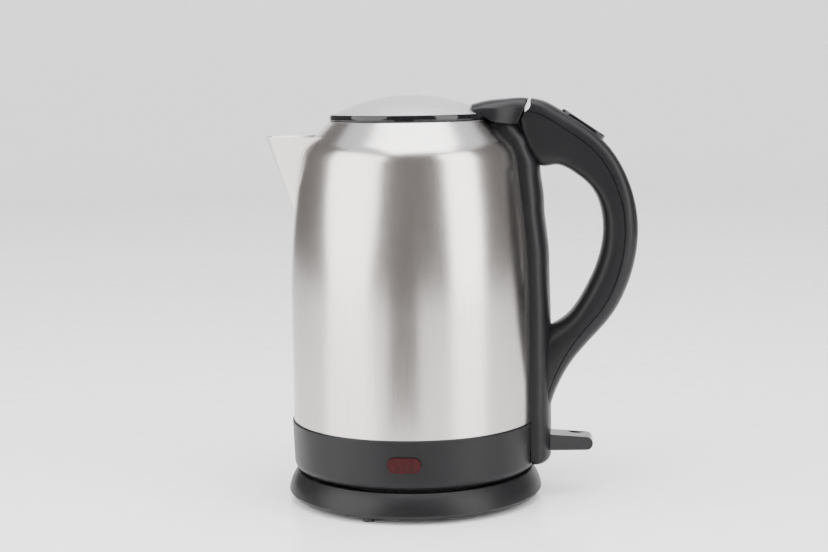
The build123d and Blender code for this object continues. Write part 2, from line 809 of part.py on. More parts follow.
def handle_body():
    """Grip and strip in one, clear of the vessel, of the collar and of the lid."""
    strip = strip_solid() - vessel_solid(-seam, skirt_top)
    strip -= disc(skirt_radius + seam, skirt_bottom - 20, skirt_top + 0.01)
    strip -= lid_space(gap_line)
    return strip + (grip_solid() - lid_space(gap_line))


def cover_zone(gap):
    """Zone outside the cover's inner line, a cover's thickness in from the grip's outside."""
    edge = shifted(outer_line(), inner_line(), cover_depth + gap, 9)
    start = edge @ 0
    turn = (start.X - 2.5, start.Y + 2.6)
    far_x = grip_x + 10
    high = hinge_z + 20
    end = edge @ 1
    foot = (end.X + 0.5, end.Y - 0.5 - 2 * gap)
    outline = edge + Polyline(end, foot, (far_x, lever_z - gap), (far_x, high), (turn[0] - 6, high), turn, start)
    return side_solid(make_face(outline), 40)


def strip_channel():
    """Channel inside the strip, open towards the vessel."""
    return strip_solid(handle_wall) & block(strip_back, grip_x, -40, 40, channel_low, channel_high)


def button_plane():
    """Frame of the lid button: on the grip's outer line, X down the slope and Z outwards."""
    line = outer_line()
    spot = line @ button_place
    way = (line % button_place).normalized()
    return Plane((spot.X, 0, spot.Y), x_dir=(way.X, 0, way.Y), z_dir=(-way.Y, 0, way.X))


def button_hole(grow, low, high):
    """Oval prism of the button, grown by a margin."""
    oval = SlotOverall(button_length + 2 * grow, button_width + 2 * grow)
    return button_plane() * (Pos(0, 0, low) * extrude(oval, amount=high - low))


def across(radius, along, depth, half):
    """Cylinder along Y at a place in the button's frame."""
    return button_plane() * (Pos(along, 0, depth) * Rot(90, 0, 0) * Cylinder(radius, 2 * half))


def handle_cover():
    """Outer cover of the grip, with the button's opening."""
    cover = handle_body() & cover_zone(0)
    cover -= grip_solid(handle_wall) + strip_channel()
    cover -= button_hole(button_gap, -button_depth, button_depth)
    return cover - across(button_pin_radius + seam, button_pivot, -button_drop, button_width / 2 + 5.6)


def hinge_ears():
    """Two ears that rise under the tail and hold the hinge pin."""
    ears = []
    for side in (-1, 1):
        y = side * ear_place
        half = ear_thickness / 2
        stem = block(hinge_x - 3.6, hinge_x + 0.9, y - half, y + half, mouth_height - 8, hinge_z)
        ears.append(stem + rod(ear_radius, hinge_x, hinge_z, half, y))
    return (ears[0] + ears[1]) - rod(hinge_pin_radius + pin_play, hinge_x, hinge_z, 20)


def handle_ribs():
    """Ribs from one side wall of the strip to just past the brackets, for the brackets' screws."""
    top = block(strip_back, body_radius + 2.0, -strip_half, bracket_half, bracket_top_z + 1.5, channel_high + 1)
    low = block(strip_back, body_radius + 6.0, -strip_half, bracket_half, bracket_low_z + 1.5, bracket_low_z + 9.0)
    return (top + low) & strip_solid(handle_wall / 2)


def handle_shell():
    """Strip, inner side of the grip, hinge ears, ribs and the lever's slot."""
    shell = handle_body() - cover_zone(seam)
    shell -= (strip_channel() + grip_solid(handle_wall)) - (handle_ribs() - vessel_solid(-seam, skirt_top))
    ears = hinge_ears() - vessel_solid(-seam, skirt_top)
    shell += ears
    post = block(post_x, post_x + 1.6, -button_width / 2, button_width / 2, mouth_height - 28, bolt_z + 1.4)
    shell += post & grip_solid(1.0)
    shell -= block(hinge_x - 6, body_radius + 3, -bolt_half - seam, bolt_half + seam,
                   bolt_z - bolt_height / 2 - seam, bolt_z + bolt_height / 2 + seam)
    side = lever_half + slip
    shell -= block(skirt_radius, body_radius + 30, -side, side, lever_z - 7.8, lever_z + 7.0)
    shell -= button_hole(button_gap, -button_depth, button_depth)
    shell -= across(button_hub_radius + slip, button_pivot, -button_drop, button_width / 2 - 2 + slip)
    shell -= block(lever_x - 2.0, lever_x + 1.0, -3, 3, lever_z + 5, channel_low + 1)
    shell -= rod(pin_radius + pin_play, lever_x, lever_z, side + 4)
    for x, y, z in bracket_screw_places:
        shell -= disc(screw_radius, z, z + 9.0, x, y)
    return shell


def handle_bracket(low):
    """Steel tongue welded to the vessel, with two screw holes."""
    tongue = block(strip_back, body_radius + bracket_reach[low], -bracket_half, bracket_half, low, low + 1.5)
    for x, y, z in bracket_screw_places:
        tongue -= disc(screw_radius + pin_play, low - 1, low + 2, x, y)
    return tongue - vessel_solid(0, skirt_top)


def handle_screws():
    """Screws through the two brackets into the handle's ribs."""
    group = []
    for x, y, z in bracket_screw_places:
        group.append(disc(screw_radius * 1.9, z - 1.4, z, x, y) + disc(screw_radius, z, z + 8.0, x, y))
    return joined(group)


def steam_grommet():
    """Rubber tube that seals the vessel's steam hole."""
    x0 = wall_radius(steam_hole_z) - 2.5
    tube = bar(steam_hole_radius, x0, steam_start, steam_hole_z, steam_y)
    return tube - bar(steam_hole_radius - 1.2, 0, steam_start + 9, steam_hole_z, steam_y)


def steam_tube():
    """Tube that leads steam down the strip to the switch."""
    x = body_radius + 3.4
    corner = (steam_start + 3.5, steam_y, steam_hole_z)
    path = FilletPolyline((steam_start, steam_y, steam_hole_z), corner, (x, steam_y, curve_start + 10),
                          (x, steam_y, channel_low + 20), radius=[3.2, 60.0])
    section = Plane(path @ 0, z_dir=path % 0) * (Circle(2.2) - Circle(1.5))
    return sweep(section, path=path)


def steam_switch_housing():
    """Switch block in the foot of the handle."""
    x = skirt_radius + 0.5
    return block(x, x + 4.6, -9, 9, channel_low + 3, channel_low + 18)


def steam_bimetal():
    """Snap disc on the outside of the switch block."""
    x = skirt_radius + 5.1
    return bar(5.5, x, x + 0.5, channel_low + 11)


def switch_spring():
    """Leaf between the switch block and the lever's hub."""
    return block(lever_x - 1.4, lever_x - 1.0, -2.5, 2.5, lever_z + hub_radius + 0.6, channel_low + 3)


def switch_lever():
    """Glossy lever: a hub on its pin, a tapered tongue with a round end and a finger dish."""
    x = lever_x
    z = lever_z
    tip = x + lever_length - lever_height / 2
    top = lever_height / 2 + 0.6
    low = -lever_height / 2
    outline = Polyline((x, z + low), (tip, z + low + 0.4))
    outline += ThreePointArc((tip, z + low + 0.4), (tip + 3.6, z), (tip, z + top - 1.6))
    outline += Polyline((tip, z + top - 1.6), (x, z + top), (x, z + low))
    tongue = side_solid(make_face(outline), lever_half)
    dish = Pos(tip - 5.0, 0, z + top + 24.2) * Rot(90, 0, 0) * Cylinder(26.0, 2 * lever_half - 3)
    lever = tongue - dish + rod(hub_radius, x, z, lever_half)
    return lever - rod(pin_radius + pin_play, x, z, lever_half + 1)


def lid_button():
    """Oval button with a hub under its upper end."""
    plate = extrude(SlotOverall(button_length, button_width), amount=button_thickness)
    plate = fillet(plate.edges().group_by(Axis.Z)[-1], 1.0)
    plate = button_plane() * (Pos(0, 0, button_proud - button_thickness) * plate)
    web = Pos(button_pivot, 0, -button_drop / 2) * Box(4.0, button_width - 4, button_drop)
    body = plate + button_plane() * web + across(button_hub_radius, button_pivot, -button_drop, button_width / 2 - 2)
    return body - across(button_pin_radius + pin_play, button_pivot, -button_drop, button_width)


def latch_slider():
    """Bolt that faces the striker through the handle's front wall."""
    half = bolt_height / 2
    nose = striker_x + 0.4
    return block(nose, nose + bolt_length, -bolt_half, bolt_half, bolt_z - half, bolt_z + half)


def coil(radius, wire, pitch, height):
    """Spring wound about Z, from its middle."""
    path = Helix(pitch, height, radius)
    section = Plane(path @ 0, z_dir=path % 0) * Circle(wire)
    return Pos(0, 0, -height / 2) * sweep(section, path=path)


def latch_spring():
    """Coil between the bolt's end position and the post behind it."""
    long = post_x - 0.4 - (striker_x + 0.4 + bolt_length + bolt_travel + 0.4)
    middle = post_x - 0.4 - long / 2
    return Pos(middle, 0, bolt_z) * Rot(0, 90, 0) * coil(1.1, 0.3, 1.0, long)


def lid_spring():
    """Coil round the hinge pin between the two ears."""
    length = 2 * ear_place - ear_thickness - 3.0
    return Pos(hinge_x, 0, hinge_z) * Rot(90, 0, 0) * coil(1.5, 0.28, 0.9, length)


# ---------------------------------------------------------------- files
bottom_places = around(3, bottom_screw_circle, bottom_screw_start)
control_places = around(3, control_radius + 3, 30)
pieces = {
    "base_cover": base_cover(),
    "base_bottom_plate": base_bottom_plate(),
    "base_feet": base_feet(),
    "base_centre_pad": disc(pad_radius, 0, base_lift),
    "base_connector": base_connector(),
    "base_contacts": base_contacts(),
    "connector_screws": screws(around(3, plug_screw_circle, 30), deck_under - flange_thickness - 1.2, 1.2,
                               deck_under + base_wall * 0.7),
    "base_screws": screws(around(3, base_screw_circle, base_screw_start), base_lift - 1.3, 1.3, deck_under - 0.5),
    "cord_gland": cord_gland(),
    "cord_clamp": cord_clamp(),
    "cord_clamp_screws": screws(clamp_places, clamp_top - 3.2, 1.0, deck_under - 0.3),
    "connector_shroud": connector_shroud(),
    "socket_contacts": socket_contacts(),
    "kettle_control": kettle_control(),
    "bimetal_discs": bimetal_discs(),
    "control_screws": screws(control_places, control_roof - 3.4, 1.4, spreader_z + 1.8),
    "heating_plate": disc(neck_radius - steel, vessel_floor, vessel_floor + floor_thickness),
    "heat_spreader": heat_spreader(),
    "heating_element": heating_element(),
    "element_terminals": element_terminals(),
    "bottom_cover": bottom_cover(),
    "bottom_screws": screws(bottom_places, skirt_bottom - 1.4, 1.4, lamp_floor + 3.5),
    "skirt": skirt(),
    "indicator_lens": indicator_lens(),
    "lamp_holder": lamp_holder(),
    "indicator_lamp": indicator_lamp(),
    "body_shell": body_shell(),
    "spout": spout(),
    "filter_frame": filter_frame(),
    "filter_mesh": filter_mesh(),
    "steam_grommet": steam_grommet(),
    "steam_tube": steam_tube(),
    "handle_shell": handle_shell(),
    "handle_cover": handle_cover(),
    "handle_bracket_top": handle_bracket(bracket_top_z),
    "handle_bracket_bottom": handle_bracket(bracket_low_z),
    "handle_screws": handle_screws(),
    "steam_switch_housing": steam_switch_housing(),
    "steam_bimetal": steam_bimetal(),
    "switch_spring": switch_spring(),
    "switch_pin": rod(pin_radius, lever_x, lever_z, lever_half + slip + 3.5),
    "switch_lever": switch_lever(),
    "hinge_pin": rod(hinge_pin_radius, hinge_x, hinge_z, 12.8),
    "lid_spring": lid_spring(),
    "button_pin": across(button_pin_radius, button_pivot, -button_drop, button_width / 2 + 5.2),
    "lid_button": lid_button(),
    "latch_slider": latch_slider(),
    "latch_spring": latch_spring(),
    "lid_cap": lid_cap(),
    "lid_rim": lid_rim(),
    "lid_inner": lid_inner(),
    "lid_gasket": lid_gasket(),
    "lid_tail": lid_tail(),
    "lid_striker": lid_striker(),
    "lid_screws": screws(around(3, lid_screw_circle, 60), mouth_height - drum_depth - 1.2, 1.2, rim_low + 2.0),
}
for name, piece in pieces.items():
    save(name, piece)
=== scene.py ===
"""Cordless electric kettle on its power base: the looks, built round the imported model."""
import json
import logging
import math
from dataclasses import dataclass, field
from enum import Enum

import bmesh
import bpy
import numpy as np
from mathutils import Matrix, Vector


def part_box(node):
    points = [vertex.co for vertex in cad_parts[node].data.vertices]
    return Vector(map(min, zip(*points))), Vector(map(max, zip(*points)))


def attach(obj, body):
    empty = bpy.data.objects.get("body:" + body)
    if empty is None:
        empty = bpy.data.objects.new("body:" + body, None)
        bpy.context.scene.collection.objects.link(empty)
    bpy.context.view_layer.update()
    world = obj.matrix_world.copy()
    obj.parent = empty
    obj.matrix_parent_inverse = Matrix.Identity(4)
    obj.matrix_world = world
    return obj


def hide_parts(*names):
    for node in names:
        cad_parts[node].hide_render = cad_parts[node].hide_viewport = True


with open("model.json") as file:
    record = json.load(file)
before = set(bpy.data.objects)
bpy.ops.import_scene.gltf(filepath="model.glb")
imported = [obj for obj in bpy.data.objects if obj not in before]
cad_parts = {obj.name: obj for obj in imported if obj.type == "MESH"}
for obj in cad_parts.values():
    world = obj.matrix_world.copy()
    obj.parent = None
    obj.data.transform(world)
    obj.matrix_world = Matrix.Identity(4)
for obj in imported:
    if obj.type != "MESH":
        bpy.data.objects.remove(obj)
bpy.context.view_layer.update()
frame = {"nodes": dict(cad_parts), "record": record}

LOG = logging.getLogger("kettle")
MM = 0.001
Colour = tuple[float, float, float]


# ---------------------------------------------------------------- shapes
def spline(points: list[tuple[float, ...]], count: int) -> np.ndarray:
    """Natural cubic curve through points, spaced evenly by chord length.

    Between two points the curve is a cubic whose second derivatives match its neighbours'
    and are zero at both ends, found from one tridiagonal system.

    Args:
        points: places that the curve passes through.
        count: number of places wanted along it.

    Returns:
        Array of count rows, as wide as a point.
    """
    p = np.array(points, float)
    knots = np.concatenate([[0.0], np.cumsum(np.linalg.norm(np.diff(p, axis=0), axis=1))])
    h = np.diff(knots)
    n = len(p)
    matrix = np.eye(n)
    right = np.zeros_like(p)
    inner = np.arange(1, n - 1)
    matrix[inner, inner - 1] = h[:-1]
    matrix[inner, inner] = 2 * (h[:-1] + h[1:])
    matrix[inner, inner + 1] = h[1:]
    slope = np.diff(p, axis=0) / h[:, None]
    right[1:-1] = 6 * np.diff(slope, axis=0)
    bend = np.linalg.solve(matrix, right)
    s = np.linspace(0, knots[-1], count)
    i = np.clip(np.searchsorted(knots, s, side="right") - 1, 0, n - 2)
    a = ((knots[i + 1] - s) / h[i])[:, None]
    b = ((s - knots[i]) / h[i])[:, None]
    step = (h[i] ** 2)[:, None] / 6
    return a * p[i] + b * p[i + 1] + ((a ** 3 - a) * bend[i] + (b ** 3 - b) * bend[i + 1]) * step


def graded(stops: list[tuple[float, float]], at: np.ndarray) -> np.ndarray:
    """Values read off a line through (place, value) stops, eased by a cubic between them."""
    place, value = np.array(stops, float).T
    i = np.clip(np.searchsorted(place, at, side="right") - 1, 0, len(place) - 2)
    t = np.clip((at - place[i]) / (place[i + 1] - place[i]), 0, 1)
    return value[i] + (value[i + 1] - value[i]) * t * t * (3 - 2 * t)


def arc(cx: float, cz: float, radius: float, start: float, end: float, count: int = 10) -> np.ndarray:
    """Points (cx + r cos a, cz + r sin a) from one angle to another, in degrees."""
    a = np.radians(np.linspace(start, end, count))
    return np.column_stack([cx + radius * np.cos(a), cz + radius * np.sin(a)])


def turned(profile: np.ndarray, steps: int = 192) -> np.ndarray:
    """Grid of a profile (radius, height) turned about Z: (r cos a, r sin a, z)."""
    angle = np.linspace(0, 2 * math.pi, steps, endpoint=False)
    r = profile[:, 0, None]
    z = profile[:, 1, None] + 0 * angle
    return np.stack([r * np.cos(angle), r * np.sin(angle), z], axis=-1)


def rounded_loop(corners: list[tuple[float, float]], radius: float, count: int = 6) -> np.ndarray:
    """Closed outline with each corner replaced by a quadratic curve that starts radius before it.

    The curve is (1-t)^2 a + 2 t (1-t) corner + t^2 b, with a and b on the two sides.
    """
    p = np.array(corners, float)
    before = np.roll(p, 1, axis=0) - p
    after = np.roll(p, -1, axis=0) - p
    reach_a = np.minimum(radius, 0.45 * np.linalg.norm(before, axis=1))[:, None]
    reach_b = np.minimum(radius, 0.45 * np.linalg.norm(after, axis=1))[:, None]
    a = p + before / np.linalg.norm(before, axis=1)[:, None] * reach_a
    b = p + after / np.linalg.norm(after, axis=1)[:, None] * reach_b
    t = np.linspace(0, 1, count)[None, :, None]
    curve = (1 - t) ** 2 * a[:, None] + 2 * t * (1 - t) * p[:, None] + t ** 2 * b[:, None]
    return curve.reshape(-1, 2)


def capsule(length: float, width: float, count: int = 48) -> np.ndarray:
    """Outline of an oval with straight sides: two half circles of the width, set apart."""
    a = np.linspace(0, 2 * math.pi, count, endpoint=False)
    shift = np.where(np.cos(a) >= 0, 1, -1) * (length - width) / 2
    return np.column_stack([np.cos(a) * width / 2 + shift, np.sin(a) * width / 2])


def mesh_object(name: str, grid: np.ndarray, *, ring_u: bool = False, ring_v: bool = True,
                ends: bool = True, crease: float = 38.0) -> bpy.types.Object:
    """Closed mesh over a grid of points given in millimetres.

    Args:
        name: name of the object.
        grid: array (rows, columns, 3).
        ring_u: joins the last row to the first.
        ring_v: joins the last column to the first.
        ends: closes the first and the last row with a face.
        crease: edges sharper than this many degrees stay crisp.

    Returns:
        The object, at the origin, with its faces pointing outwards.
    """
    rows, columns = grid.shape[:2]
    index = np.arange(rows * columns).reshape(rows, columns)
    wide = np.hstack([index, index[:, :1]]) if ring_v else index
    tall = np.vstack([wide, wide[:1]]) if ring_u else wide
    quads = np.stack([tall[:-1, :-1], tall[1:, :-1], tall[1:, 1:], tall[:-1, 1:]], axis=-1).reshape(-1, 4)
    faces = quads.tolist()
    if ends and not ring_u:
        faces += [index[0][::-1].tolist(), index[-1].tolist()]
    mesh = bpy.data.meshes.new(name)
    mesh.from_pydata((grid.reshape(-1, 3) * MM).tolist(), [], faces)
    tidy_mesh(mesh, crease)
    piece = bpy.data.objects.new(name, mesh)
    bpy.context.scene.collection.objects.link(piece)
    return piece


def tidy_mesh(mesh: bpy.types.Mesh, crease: float) -> None:
    """Merges doubled points, turns faces outwards and shades smoothly up to the crease angle."""
    work = bmesh.new()
    work.from_mesh(mesh)
    bmesh.ops.remove_doubles(work, verts=work.verts, dist=2e-6)
    bmesh.ops.dissolve_degenerate(work, edges=work.edges, dist=1e-7)
    bmesh.ops.recalc_face_normals(work, faces=work.faces)
    work.to_mesh(mesh)
    work.free()
    mesh.polygons.foreach_set("use_smooth", np.ones(len(mesh.polygons), bool))
    mesh.set_sharp_from_angle(angle=math.radians(crease))


def carve(piece: bpy.types.Object, cutters: list[bpy.types.Object], crease: float = 38.0) -> None:
    """Cuts the cutters' shapes out of a piece and removes the cutters."""
    for cutter in cutters:
        step = piece.modifiers.new("cut", "BOOLEAN")
        step.operation = "DIFFERENCE"
        step.solver = "EXACT"
        step.object = cutter
    bpy.context.view_layer.update()
    graph = bpy.context.evaluated_depsgraph_get()
    result = bpy.data.meshes.new_from_object(piece.evaluated_get(graph))
    piece.modifiers.clear()
    old = piece.data
    piece.data = result
    bpy.data.meshes.remove(old)
    for cutter in cutters:
        bpy.data.objects.remove(cutter)
    tidy_mesh(result, crease)


def block(name: str, low: tuple[float, float, float], high: tuple[float, float, float],
          radius: float = 0.6) -> bpy.types.Object:
    """Upright block with rounded vertical edges, between two corners."""
    loop = rounded_loop([(low[0], low[1]), (high[0], low[1]), (high[0], high[1]), (low[0], high[1])], radius)
    heights = np.array([low[2], high[2]])
    grid = np.stack([np.column_stack([loop, np.full(len(loop), z)]) for z in heights])
    return mesh_object(name, grid)


# ---------------------------------------------------------------- finishes
class Grain(Enum):
    """Stretch of a brushed pattern along the object's axes."""
    UPRIGHT = (1.0, 1.0, 0.02)
    CROSSWISE = (0.03, 1.0, 1.0)
    NONE = (1.0, 1.0, 1.0)


def group(name: str, inputs: list[tuple[str, str, object]], outputs: list[tuple[str, str]]) -> tuple:
    """New shader node group with named inputs and outputs.

    Args:
        name: name of the group.
        inputs: (name, socket type, starting value) for each input.
        outputs: (name, socket type) for each output.

    Returns:
        The group, its input node and its output node.
    """
    tree = bpy.data.node_groups.new(name, "ShaderNodeTree")
    for label, kind, value in inputs:
        made = tree.interface.new_socket(label, in_out="INPUT", socket_type=kind)
        if value is not None:
            made.default_value = value
    for label, kind in outputs:
        tree.interface.new_socket(label, in_out="OUTPUT", socket_type=kind)
    return tree, tree.nodes.new("NodeGroupInput"), tree.nodes.new("NodeGroupOutput")


def colour_mix(nodes: bpy.types.Nodes) -> tuple:
    """New node that mixes two colours.

    Returns:
        Its factor, its two colour inputs and its colour output.
    """
    node = nodes.new("ShaderNodeMix")
    node.data_type = "RGBA"
    pair = [s for s in node.inputs if s.type == "RGBA"]
    result = next(s for s in node.outputs if s.type == "RGBA")
    return node.inputs[0], pair[0], pair[1], result


def grain_group() -> bpy.types.NodeTree:
    """Streaks or specks: noise at a scale, spread between a low and a high value."""
    tree, given, out = group(
        "surface_grain",
        [("Vector", "NodeSocketVector", None), ("Scale", "NodeSocketFloat", 40.0),
         ("Low", "NodeSocketFloat", 0.0), ("High", "NodeSocketFloat", 1.0)],
        [("Value", "NodeSocketFloat")])
    noise = tree.nodes.new("ShaderNodeTexNoise")
    noise.inputs["Detail"].default_value = 5.0
    noise.inputs["Roughness"].default_value = 0.62
    spread = tree.nodes.new("ShaderNodeMapRange")
    spread.inputs["From Min"].default_value = 0.32
    spread.inputs["From Max"].default_value = 0.68
    tree.links.new(given.outputs["Vector"], noise.inputs["Vector"])
    tree.links.new(given.outputs["Scale"], noise.inputs["Scale"])
    tree.links.new(noise.outputs["Fac"], spread.inputs["Value"])
    tree.links.new(given.outputs["Low"], spread.inputs["To Min"])
    tree.links.new(given.outputs["High"], spread.inputs["To Max"])
    tree.links.new(spread.outputs["Result"], out.inputs["Value"])
    return tree


def dust_group() -> bpy.types.NodeTree:
    """Fine dust on faces that look upwards: the colour drifts to the dust's colour there."""
    tree, given, out = group(
        "settled_dust",
        [("Vector", "NodeSocketVector", None), ("Color", "NodeSocketColor", None),
         ("Dust", "NodeSocketColor", (0.5, 0.48, 0.45, 1.0)), ("Amount", "NodeSocketFloat", 0.05)],
        [("Color", "NodeSocketColor")])
    nodes, link = tree.nodes, tree.links.new
    normal = nodes.new("ShaderNodeNewGeometry")
    parts = nodes.new("ShaderNodeSeparateXYZ")
    speck = nodes.new("ShaderNodeTexNoise")
    speck.inputs["Scale"].default_value = 210.0
    speck.inputs["Detail"].default_value = 4.0
    up = nodes.new("ShaderNodeMath")
    up.operation = "MULTIPLY"
    up.use_clamp = True
    share = nodes.new("ShaderNodeMath")
    share.operation = "MULTIPLY"
    share.use_clamp = True
    factor, clean, dusty, mixed = colour_mix(nodes)
    link(normal.outputs["Normal"], parts.inputs[0])
    link(given.outputs["Vector"], speck.inputs["Vector"])
    link(parts.outputs["Z"], up.inputs[0])
    link(speck.outputs["Fac"], up.inputs[1])
    link(up.outputs[0], share.inputs[0])
    link(given.outputs["Amount"], share.inputs[1])
    link(share.outputs[0], factor)
    link(given.outputs["Color"], clean)
    link(given.outputs["Dust"], dusty)
    link(mixed, out.inputs["Color"])
    return tree


GRAIN = grain_group()
DUST = dust_group()


@dataclass(frozen=True)
class Finish:
    """Surface finish: two tones mixed by a grain, with its own roughness, relief and dust."""
    name: str
    light: Colour
    dark: Colour
    metallic: float = 0.0
    rough_low: float = 0.35
    rough_high: float = 0.5
    grain: Grain = Grain.NONE
    grain_scale: float = 900.0
    blotch_scale: float = 18.0
    blotch: float = 0.04
    relief: float = 0.02
    relief_depth: float = 0.00005
    dust: float = 0.04
    coat: float = 0.0
    coat_roughness: float = 0.05
    specular: float = 0.5
    transmission: float = 0.0
    ior: float = 1.5

    def material(self) -> bpy.types.Material:
        """Material of this finish, made once and then used again."""
        found = bpy.data.materials.get(self.name + "_finish")
        return found or self._build()

    def _build(self) -> bpy.types.Material:
        """Makes the material's nodes.

        Returns:
            The new material.
        """
        material = bpy.data.materials.new(self.name + "_finish")
        material.use_nodes = True
        nodes, link = material.node_tree.nodes, material.node_tree.links.new
        shader = nodes["Principled BSDF"]
        place = nodes.new("ShaderNodeTexCoord")
        stretch = nodes.new("ShaderNodeMapping")
        stretch.inputs["Scale"].default_value = self.grain.value
        streak = self._grain(nodes, self.grain_scale, 0.0, 1.0)
        cloud = self._grain(nodes, self.blotch_scale, -self.blotch, self.blotch)
        factor, dark, light, tone = colour_mix(nodes)
        dark.default_value = (*self.dark, 1.0)
        light.default_value = (*self.light, 1.0)
        rough = nodes.new("ShaderNodeMapRange")
        rough.inputs["To Min"].default_value = self.rough_low
        rough.inputs["To Max"].default_value = self.rough_high
        worn = nodes.new("ShaderNodeMath")
        worn.operation = "ADD"
        worn.use_clamp = True
        dust = nodes.new("ShaderNodeGroup")
        dust.node_tree = DUST
        dust.inputs["Amount"].default_value = self.dust
        bump = nodes.new("ShaderNodeBump")
        bump.inputs["Strength"].default_value = self.relief
        bump.inputs["Distance"].default_value = self.relief_depth
        link(place.outputs["Object"], stretch.inputs["Vector"])
        link(stretch.outputs["Vector"], streak.inputs["Vector"])
        link(place.outputs["Object"], cloud.inputs["Vector"])
        link(place.outputs["Object"], dust.inputs["Vector"])
        link(streak.outputs["Value"], factor)
        link(tone, dust.inputs["Color"])
        link(dust.outputs["Color"], shader.inputs["Base Color"])
        link(streak.outputs["Value"], rough.inputs["Value"])
        link(rough.outputs["Result"], worn.inputs[0])
        link(cloud.outputs["Value"], worn.inputs[1])
        link(worn.outputs[0], shader.inputs["Roughness"])
        link(streak.outputs["Value"], bump.inputs["Height"])
        link(bump.outputs["Normal"], shader.inputs["Normal"])
        shader.inputs["Metallic"].default_value = self.metallic
        shader.inputs["Coat Weight"].default_value = self.coat
        shader.inputs["Coat Roughness"].default_value = self.coat_roughness
        shader.inputs["Specular IOR Level"].default_value = self.specular
        shader.inputs["Transmission Weight"].default_value = self.transmission
        shader.inputs["IOR"].default_value = self.ior
        return material

    @staticmethod
    def _grain(nodes: bpy.types.Nodes, scale: float, low: float, high: float) -> bpy.types.Node:
        """Places the grain group with its own values and returns it."""
        made = nodes.new("ShaderNodeGroup")
        made.node_tree = GRAIN
        made.inputs["Scale"].default_value = scale
        made.inputs["Low"].default_value = low
        made.inputs["High"].default_value = high
        return made


BRUSHED_STEEL = Finish("brushed_steel", (0.60, 0.572, 0.55), (0.53, 0.503, 0.482), metallic=1.0,
                       rough_low=0.21, rough_high=0.25, grain=Grain.UPRIGHT, grain_scale=1900.0,
                       blotch=0.01, relief=0.012, relief_depth=0.00001, dust=0.0)
SATIN_STEEL = Finish("satin_steel", (0.67, 0.67, 0.66), (0.60, 0.60, 0.59), metallic=1.0, rough_low=0.42,
                     rough_high=0.5, grain=Grain.CROSSWISE, grain_scale=420.0, blotch=0.02,
                     relief=0.03, dust=0.03)
INNER_STEEL = Finish("inner_steel", (0.62, 0.62, 0.61), (0.5, 0.5, 0.49), metallic=1.0, rough_low=0.3,
                     rough_high=0.42, grain_scale=260.0, blotch=0.06)
BLACK_PLASTIC = Finish("black_plastic", (0.0075, 0.0075, 0.0082), (0.0055, 0.0055, 0.0062), rough_low=0.34,
                       rough_high=0.42, specular=0.2, grain_scale=1500.0, relief=0.12, dust=0.006)
GLOSS_BLACK = Finish("gloss_black", (0.006, 0.006, 0.007), (0.004, 0.004, 0.005), rough_low=0.07,
                     rough_high=0.11, grain_scale=300.0, blotch=0.02, relief=0.01, dust=0.003,
                     coat=0.12, specular=0.3)
INNER_PLASTIC = Finish("inner_plastic", (0.075, 0.075, 0.075), (0.055, 0.055, 0.056), rough_low=0.45,
                       rough_high=0.56, grain_scale=900.0, relief=0.1)
RED_LENS = Finish("red_lens", (0.03, 0.0008, 0.0015), (0.015, 0.0006, 0.001), rough_low=0.12,
                  rough_high=0.18, grain_scale=300.0, blotch=0.01, relief=0.01, dust=0.0,
                  coat=0.05, specular=0.15)
LAMP_GLASS = Finish("lamp_glass", (0.9, 0.87, 0.84), (0.82, 0.79, 0.76), rough_low=0.05, rough_high=0.12,
                    transmission=0.9, ior=1.46, dust=0.0)
RUBBER = Finish("rubber", (0.035, 0.034, 0.033), (0.024, 0.024, 0.024), rough_low=0.68, rough_high=0.8,
                grain_scale=700.0, relief=0.2, specular=0.3)
SILICONE = Finish("silicone", (0.76, 0.76, 0.73), (0.68, 0.68, 0.65), rough_low=0.42, rough_high=0.52,
                  grain_scale=300.0)
BRASS = Finish("brass", (0.78, 0.6, 0.3), (0.62, 0.45, 0.2), metallic=1.0, rough_low=0.25, rough_high=0.38,
               grain_scale=300.0, blotch=0.08)
ALUMINIUM = Finish("aluminium", (0.78, 0.78, 0.79), (0.68, 0.68, 0.69), metallic=1.0, rough_low=0.35,
                   rough_high=0.5, grain_scale=400.0, blotch=0.06)
HEATER_METAL = Finish("heater_metal", (0.48, 0.46, 0.43), (0.36, 0.34, 0.32), metallic=0.9, rough_low=0.45,
                      rough_high=0.62, grain_scale=240.0, blotch=0.08)
STEEL_HARDWARE = Finish("steel_hardware", (0.58, 0.58, 0.59), (0.47, 0.47, 0.48), metallic=1.0,
                        rough_low=0.26, rough_high=0.38, grain_scale=500.0, blotch=0.06)
FLOOR_FINISH = Finish("pale_worktop", (0.94, 0.928, 0.922), (0.91, 0.898, 0.892), rough_low=0.16,
                      rough_high=0.24, grain_scale=60.0, blotch_scale=3.0, blotch=0.02, relief=0.0, dust=0.0)
CARD_FINISH = Finish("dark_card", (0.09, 0.082, 0.078), (0.07, 0.064, 0.06), rough_low=0.8, rough_high=0.9)
FINISHES = {f.name: f for f in (BRUSHED_STEEL, SATIN_STEEL, INNER_STEEL, BLACK_PLASTIC, GLOSS_BLACK,
                                INNER_PLASTIC, RED_LENS, LAMP_GLASS, RUBBER, SILICONE, BRASS,
                                ALUMINIUM, HEATER_METAL, STEEL_HARDWARE)}


def dress(piece: bpy.types.Object, finish: Finish, body: str, *nodes: str) -> bpy.types.Object:
    """Gives a finished piece its material, its body and the nodes that it stands for.

    Args:
        piece: the finished piece.
        finish: its finish, which is named as the record's slot is.
        body: name of the body that it moves with.
        nodes: names of the nodes that are then hidden.

    Returns:
        The same piece.
    """
    piece.data.materials.clear()
    piece.data.materials.append(finish.material())
    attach(piece, body)
    if nodes:
        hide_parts(*nodes)
    LOG.info("%s on %s, %d faces", piece.name, body, len(piece.data.polygons))
    return piece


def top_of(node: str) -> float:
    """Height of a node's highest point in millimetres."""
    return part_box(node)[1].z / MM


